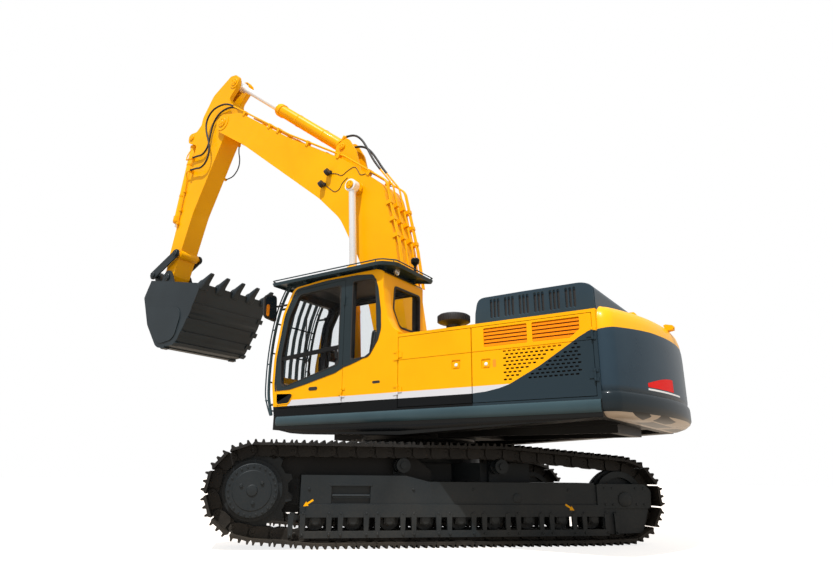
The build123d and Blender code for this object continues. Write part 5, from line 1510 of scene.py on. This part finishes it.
quarter = {
    "loop": [(-0.2, 1.476), (-0.2, 2.06), (-0.3, 2.17, 0.1), (-0.395, 2.31, 0.15), (-0.428, 2.48, 0.2),
        (-0.425, 2.98), (-0.434, 2.98), (-0.452, 2.8, 0.3), (-0.5, 2.6, 0.2), (-0.58, 2.46, 0.15), (-0.663, 2.405),
        (-0.663, 1.476)],
}
addPiece("quarterPanel", plateMesh(roundedLoop(quarter["loop"]), [], 1.474, 1.4765, 0.001), "housePaint", "house")
addPiece("quarterFlare", plateMesh(roundedLoop([(-0.4305, 2.355), (-0.4305, 2.985), (-0.436, 2.985),
        (-0.454, 2.8, 0.3), (-0.502, 2.6, 0.2), (-0.582, 2.46, 0.15), (-0.665, 2.403),
        (-0.665, 2.355)]), [], 1.33, 1.4755, 0.004), "yellowPaint", "house")


# Dark covers on the cab door's upper hinge, so that it matches the surround

def makeHingeCovers():
    fixed, moving = bmesh.new(), bmesh.new()
    x, y, z = 0.178, 1.4873, 2.9
    for low, high in ((z - 0.06, z - 0.0305), (z + 0.0305, z + 0.06)):
        addTurned(fixed, (x, y, low - 0.0005), (0, 0, 1), [(0, 0.0132), (high - low + 0.001, 0.0132)], 20)
        addBox(fixed, (x - 0.051, y - 0.0128, low - 0.0005), (x, y - 0.0035, high + 0.0005))
    addTurned(moving, (x, y, z - 0.029), (0, 0, 1), [(0, 0.0132), (0.058, 0.0132)], 20)
    addBox(moving, (x, y - 0.0128, z - 0.029), (x + 0.051, y - 0.0035, z + 0.029))
    addPiece("hingeCoverFixed", fixed, "surroundPaint", "house")
    addPiece("hingeCoverMoving", moving, "surroundPaint", "cab_door")


makeHingeCovers()
print("quarter panel and hinge covers done")


# Operator's place: soft seat, consoles with levers, armrests and monitor

seat = {
    "voxel": 0.008, "pressure": 4.0, "cap": 0.016, "frames": 20, "crown": 0.03,
    "cushions": {
        "seatCushion": [(-0.04, 0.785, 1.872), (0.45, 1.235, 1.958), 0.0, (0, 0)],
        "seatBack": [(-0.045, 0.8, 1.975), (0.045, 1.22, 2.54), radians(-9.5), (-0.04, 1.96)],
        "headRest": [(-0.035, 0.87, 2.58), (0.035, 1.15, 2.74), radians(-9.5), (-0.04, 1.96)],
    },
}


def leanAbout(pivot, lean):
    shift = Matrix.Translation((pivot[0], 0, pivot[1]))
    return shift @ Matrix.Rotation(lean, 4, "Y") @ shift.inverted()


def blockMesh(low, high, crown, lean, pivot):
    # A closed block whose faces are crowned and whose sides pull in between the corners
    shape = bmesh.new()
    bmesh.ops.create_cube(shape, size=2.0)
    bmesh.ops.subdivide_edges(shape, edges=shape.edges[:], cuts=13, use_grid_fill=True)
    middle = (Vector(low) + Vector(high)) / 2
    half = (Vector(high) - Vector(low)) / 2
    thin = min(range(3), key=lambda axis: half[axis])
    wide = [axis for axis in range(3) if axis != thin]
    turn = leanAbout(pivot, lean)
    for v in shape.verts:
        a, b = [v.co[axis] for axis in wide]
        swell = (1 - a * a) * (1 - b * b)
        spot = Vector([v.co[axis] * half[axis] for axis in range(3)])
        spot[thin] *= 0.55 + 0.45 * (1 - max(abs(a), abs(b)) ** 6)
        spot[thin] += v.co[thin] * crown * swell * 0.5
        for axis, other in zip(wide, (b, a)):
            spot[axis] *= 1 - 0.03 * (1 - other * other)
        v.co = turn @ (middle + spot)
    return toMesh(shape)


def solved(piece):
    return bpy.data.meshes.new_from_object(piece.evaluated_get(bpy.context.evaluated_depsgraph_get()))


def makeCushions(values):
    pads, cords = [], []
    for name, (low, high, lean, pivot) in values["cushions"].items():
        holder = linked(name, blockMesh(low, high, values["crown"], lean, pivot))
        remesh = holder.modifiers.new("voxels", "REMESH")
        remesh.mode = "VOXEL"
        remesh.voxel_size = values["voxel"]
        pads.append((name, solved(holder)))
        bpy.data.objects.remove(holder)
        # The piping follows the middle of the pad's edge
        turn = leanAbout(pivot, lean)
        if name == "seatCushion":
            loop = [(low[0], low[1], 0.04), (high[0], low[1], 0.05), (high[0], high[1], 0.05),
                    (low[0], high[1], 0.04)]
            run = [turn @ Vector((a, b, (low[2] + high[2]) / 2)) for a, b in roundedLoop(loop)]
        else:
            loop = [(low[1], low[2], 0.04), (high[1], low[2], 0.04), (high[1], high[2], 0.06),
                    (low[1], high[2], 0.06)]
            run = [turn @ Vector(((low[0] + high[0]) / 2, a, b)) for a, b in roundedLoop(loop)]
        cords.append(run + run[:1])
    for name, mesh in pads:
        puff(name, mesh, values)
    for name, mesh in pads:
        piece = addPiece(name, mesh, "seatCloth", "house", smooth=180)
        finer = piece.modifiers.new("finer", "SUBSURF")
        finer.levels = finer.render_levels = 1
    addPiece("seatPiping", tubeMesh(cords, 0.006, False, 2), "blackPlastic", "house", smooth=80)


def puff(name, mesh, values):
    # Air pressure swells the pad, and no point moves more than the cap
    pad = linked(name, mesh)
    scene = bpy.context.scene
    cloth = pad.modifiers.new("air", "CLOTH")
    cloth.settings.quality = 4
    cloth.settings.use_pressure = True
    cloth.settings.uniform_pressure_force = values["pressure"]
    cloth.settings.effector_weights.gravity = 0
    cloth.collision_settings.use_collision = False
    for step in range(1, values["frames"] + 1):
        scene.frame_set(step)
    swollen = solved(pad)
    for v, new in zip(mesh.vertices, swollen.vertices):
        move = new.co - v.co
        if move.length > values["cap"]:
            move = move.normalized() * values["cap"]
        v.co += move
    bpy.data.objects.remove(pad)
    bpy.data.meshes.remove(swollen)
    scene.frame_set(1)


def makeOperatorPlace(values):
    hard, grips, screen = bmesh.new(), bmesh.new(), bmesh.new()
    # Seat stand with bellows, pan and back shell
    addSlab(hard, squareLoop(0.04, 0.4, 0.85, 1.17, 0.03, 5), 1.536, 1.64, "z")
    for i in range(5):
        grow = 0.0 if i % 2 else 0.022
        fold = squareLoop(0.062 - grow, 0.378 + grow, 0.872 - grow, 1.148 + grow, 0.03, 5)
        addSlab(hard, fold, 1.64 + i * 0.036, 1.676 + i * 0.036, "z")
    addSlab(hard, squareLoop(-0.03, 0.44, 0.79, 1.23, 0.05, 5), 1.82, 1.872, "z")
    lean, pivot = values["cushions"]["seatBack"][2:]
    turn = leanAbout(pivot, lean)
    addBox(hard, (-0.062, 0.815, 1.94), (-0.04, 1.205, 2.51), turn)
    for y in (0.945, 1.075):
        addTurned(hard, turn @ Vector((-0.03, y, 2.49)), turn.to_3x3() @ Vector((0, 0, 1)),
                [(0, 0.008), (0.11, 0.008)], 10)
    # Consoles with rounded tops, armrests and levers with boots
    console = [(-0.06, 1.536), (0.53, 1.536, 0.04), (0.56, 1.9, 0.05), (0.43, 2.08, 0.08), (-0.06, 2.02, 0.06)]
    armrest = [(-0.11, 2.085, 0.02), (0.23, 2.105, 0.02), (0.235, 2.145, 0.02), (-0.11, 2.13, 0.02)]
    lever = [(0, 0.036), (0.012, 0.034), (0.03, 0.024), (0.036, 0.028), (0.056, 0.016), (0.062, 0.008), (0.13, 0.008),
            (0.134, 0.018),
            (0.17, 0.022), (0.215, 0.019), (0.24, 0.024), (0.252, 0.014)]
    for y0, y1 in ((0.65, 0.745), (1.275, 1.36)):
        y = (y0 + y1) / 2
        addSlab(hard, roundedLoop(console), y0, y1)
        addSlab(hard, roundedLoop(armrest), y - 0.036, y + 0.036)
        addTurned(grips, (0.4, y, 2.06), (0.15, 0, 1), lever, 18)
    # Travel levers and pedals on the floor, monitor on its arm
    for y in (0.93, 1.09):
        grips.from_mesh(tubeMesh([[(0.93, y, 1.545), (0.9, y, 1.8), (0.84, y, 2.08)]], 0.01, sides=2))
        addTurned(grips, (0.85, y, 2.05), (-0.28, 0, 1), [(0, 0.016), (0.01, 0.019), (0.1, 0.019), (0.108, 0.012)],
                14)
        addBox(grips, (0.96, y - 0.05, 1.56), (1.12, y + 0.05, 1.578))
    addRod(hard, (0.93, 0.69, 1.54), (0.96, 0.69, 2.29), 0.018)
    addBox(hard, (0.93, 0.64, 2.27), (0.965, 0.86, 2.43))
    addBox(screen, (0.9285, 0.655, 2.285), (0.9298, 0.845, 2.415))
    addPiece("seatFrame", hard, "blackPlastic", "house", soft=0.004, replaced=("operator_seat",))
    addPiece("controlLevers", grips, "rubber", "house", soft=0.001)
    addPiece("monitorScreen", screen, "mirrorDark", "house")


makeCushions(seat)
makeOperatorPlace(seat)
print("operator's place done")


# Floor, lamps and world

light = {"sun": 4.0, "sunSize": 1.0, "sunFrom": (-0.12, 0.46, 0.88), "world": 0.74, "gloss": 0.62,
        "floor": (0.46, 0.38, 0.3), "lift": 0.8,
         "reach": 60.0}


def makeStage(values):
    shape = bmesh.new()
    reach = values["reach"]
    shape.faces.new([shape.verts.new((x * reach, y * reach, -0.001))
                     for x, y in ((-1, -1), (1, -1), (1, 1), (-1, 1))])
    floor = linked("floor", toMesh(shape))
    material = bpy.data.materials.new("floorPale")
    material.use_nodes = True
    tree = material.node_tree
    skin = tree.nodes["Principled BSDF"]
    skin.inputs["Base Color"].default_value = (*values["floor"], 1)
    skin.inputs["Roughness"].default_value = 0.9
    skin.inputs["Emission Color"].default_value = (1, 1, 1, 1)
    # The camera sees the floor brighter than it lights the machine
    straight = addNode(tree, "ShaderNodeLightPath").outputs["Is Camera Ray"]
    tree.links.new(times(tree, straight, values["lift"]), skin.inputs["Emission Strength"])
    floor.data.materials.append(material)
    sun = bpy.data.lights.new("sun", "SUN")
    sun.energy = values["sun"]
    sun.angle = radians(values["sunSize"])
    linked("sun", sun).rotation_euler = Vector(values["sunFrom"]).to_track_quat("Z", "Y").to_euler()
    world = bpy.data.worlds.new("world")
    bpy.context.scene.world = world
    world.use_nodes = True
    tree = world.node_tree
    tree.nodes.clear()
    end = addNode(tree, "ShaderNodeOutputWorld")
    glow = addNode(tree, "ShaderNodeBackground")
    seen = addNode(tree, "ShaderNodeLightPath").outputs
    strength = plus(tree, times(tree, seen["Is Camera Ray"], 1.0 - values["world"]), values["world"])
    strength = plus(tree, strength, times(tree, seen["Is Glossy Ray"], values["gloss"] - values["world"]))
    tree.links.new(strength, glow.inputs["Strength"])
    glow.inputs["Color"].default_value = (1, 1, 1, 1)
    tree.links.new(glow.outputs[0], end.inputs["Surface"])


makeStage(light)
bpy.context.scene.view_settings.view_transform = "Standard"
print("stage set")
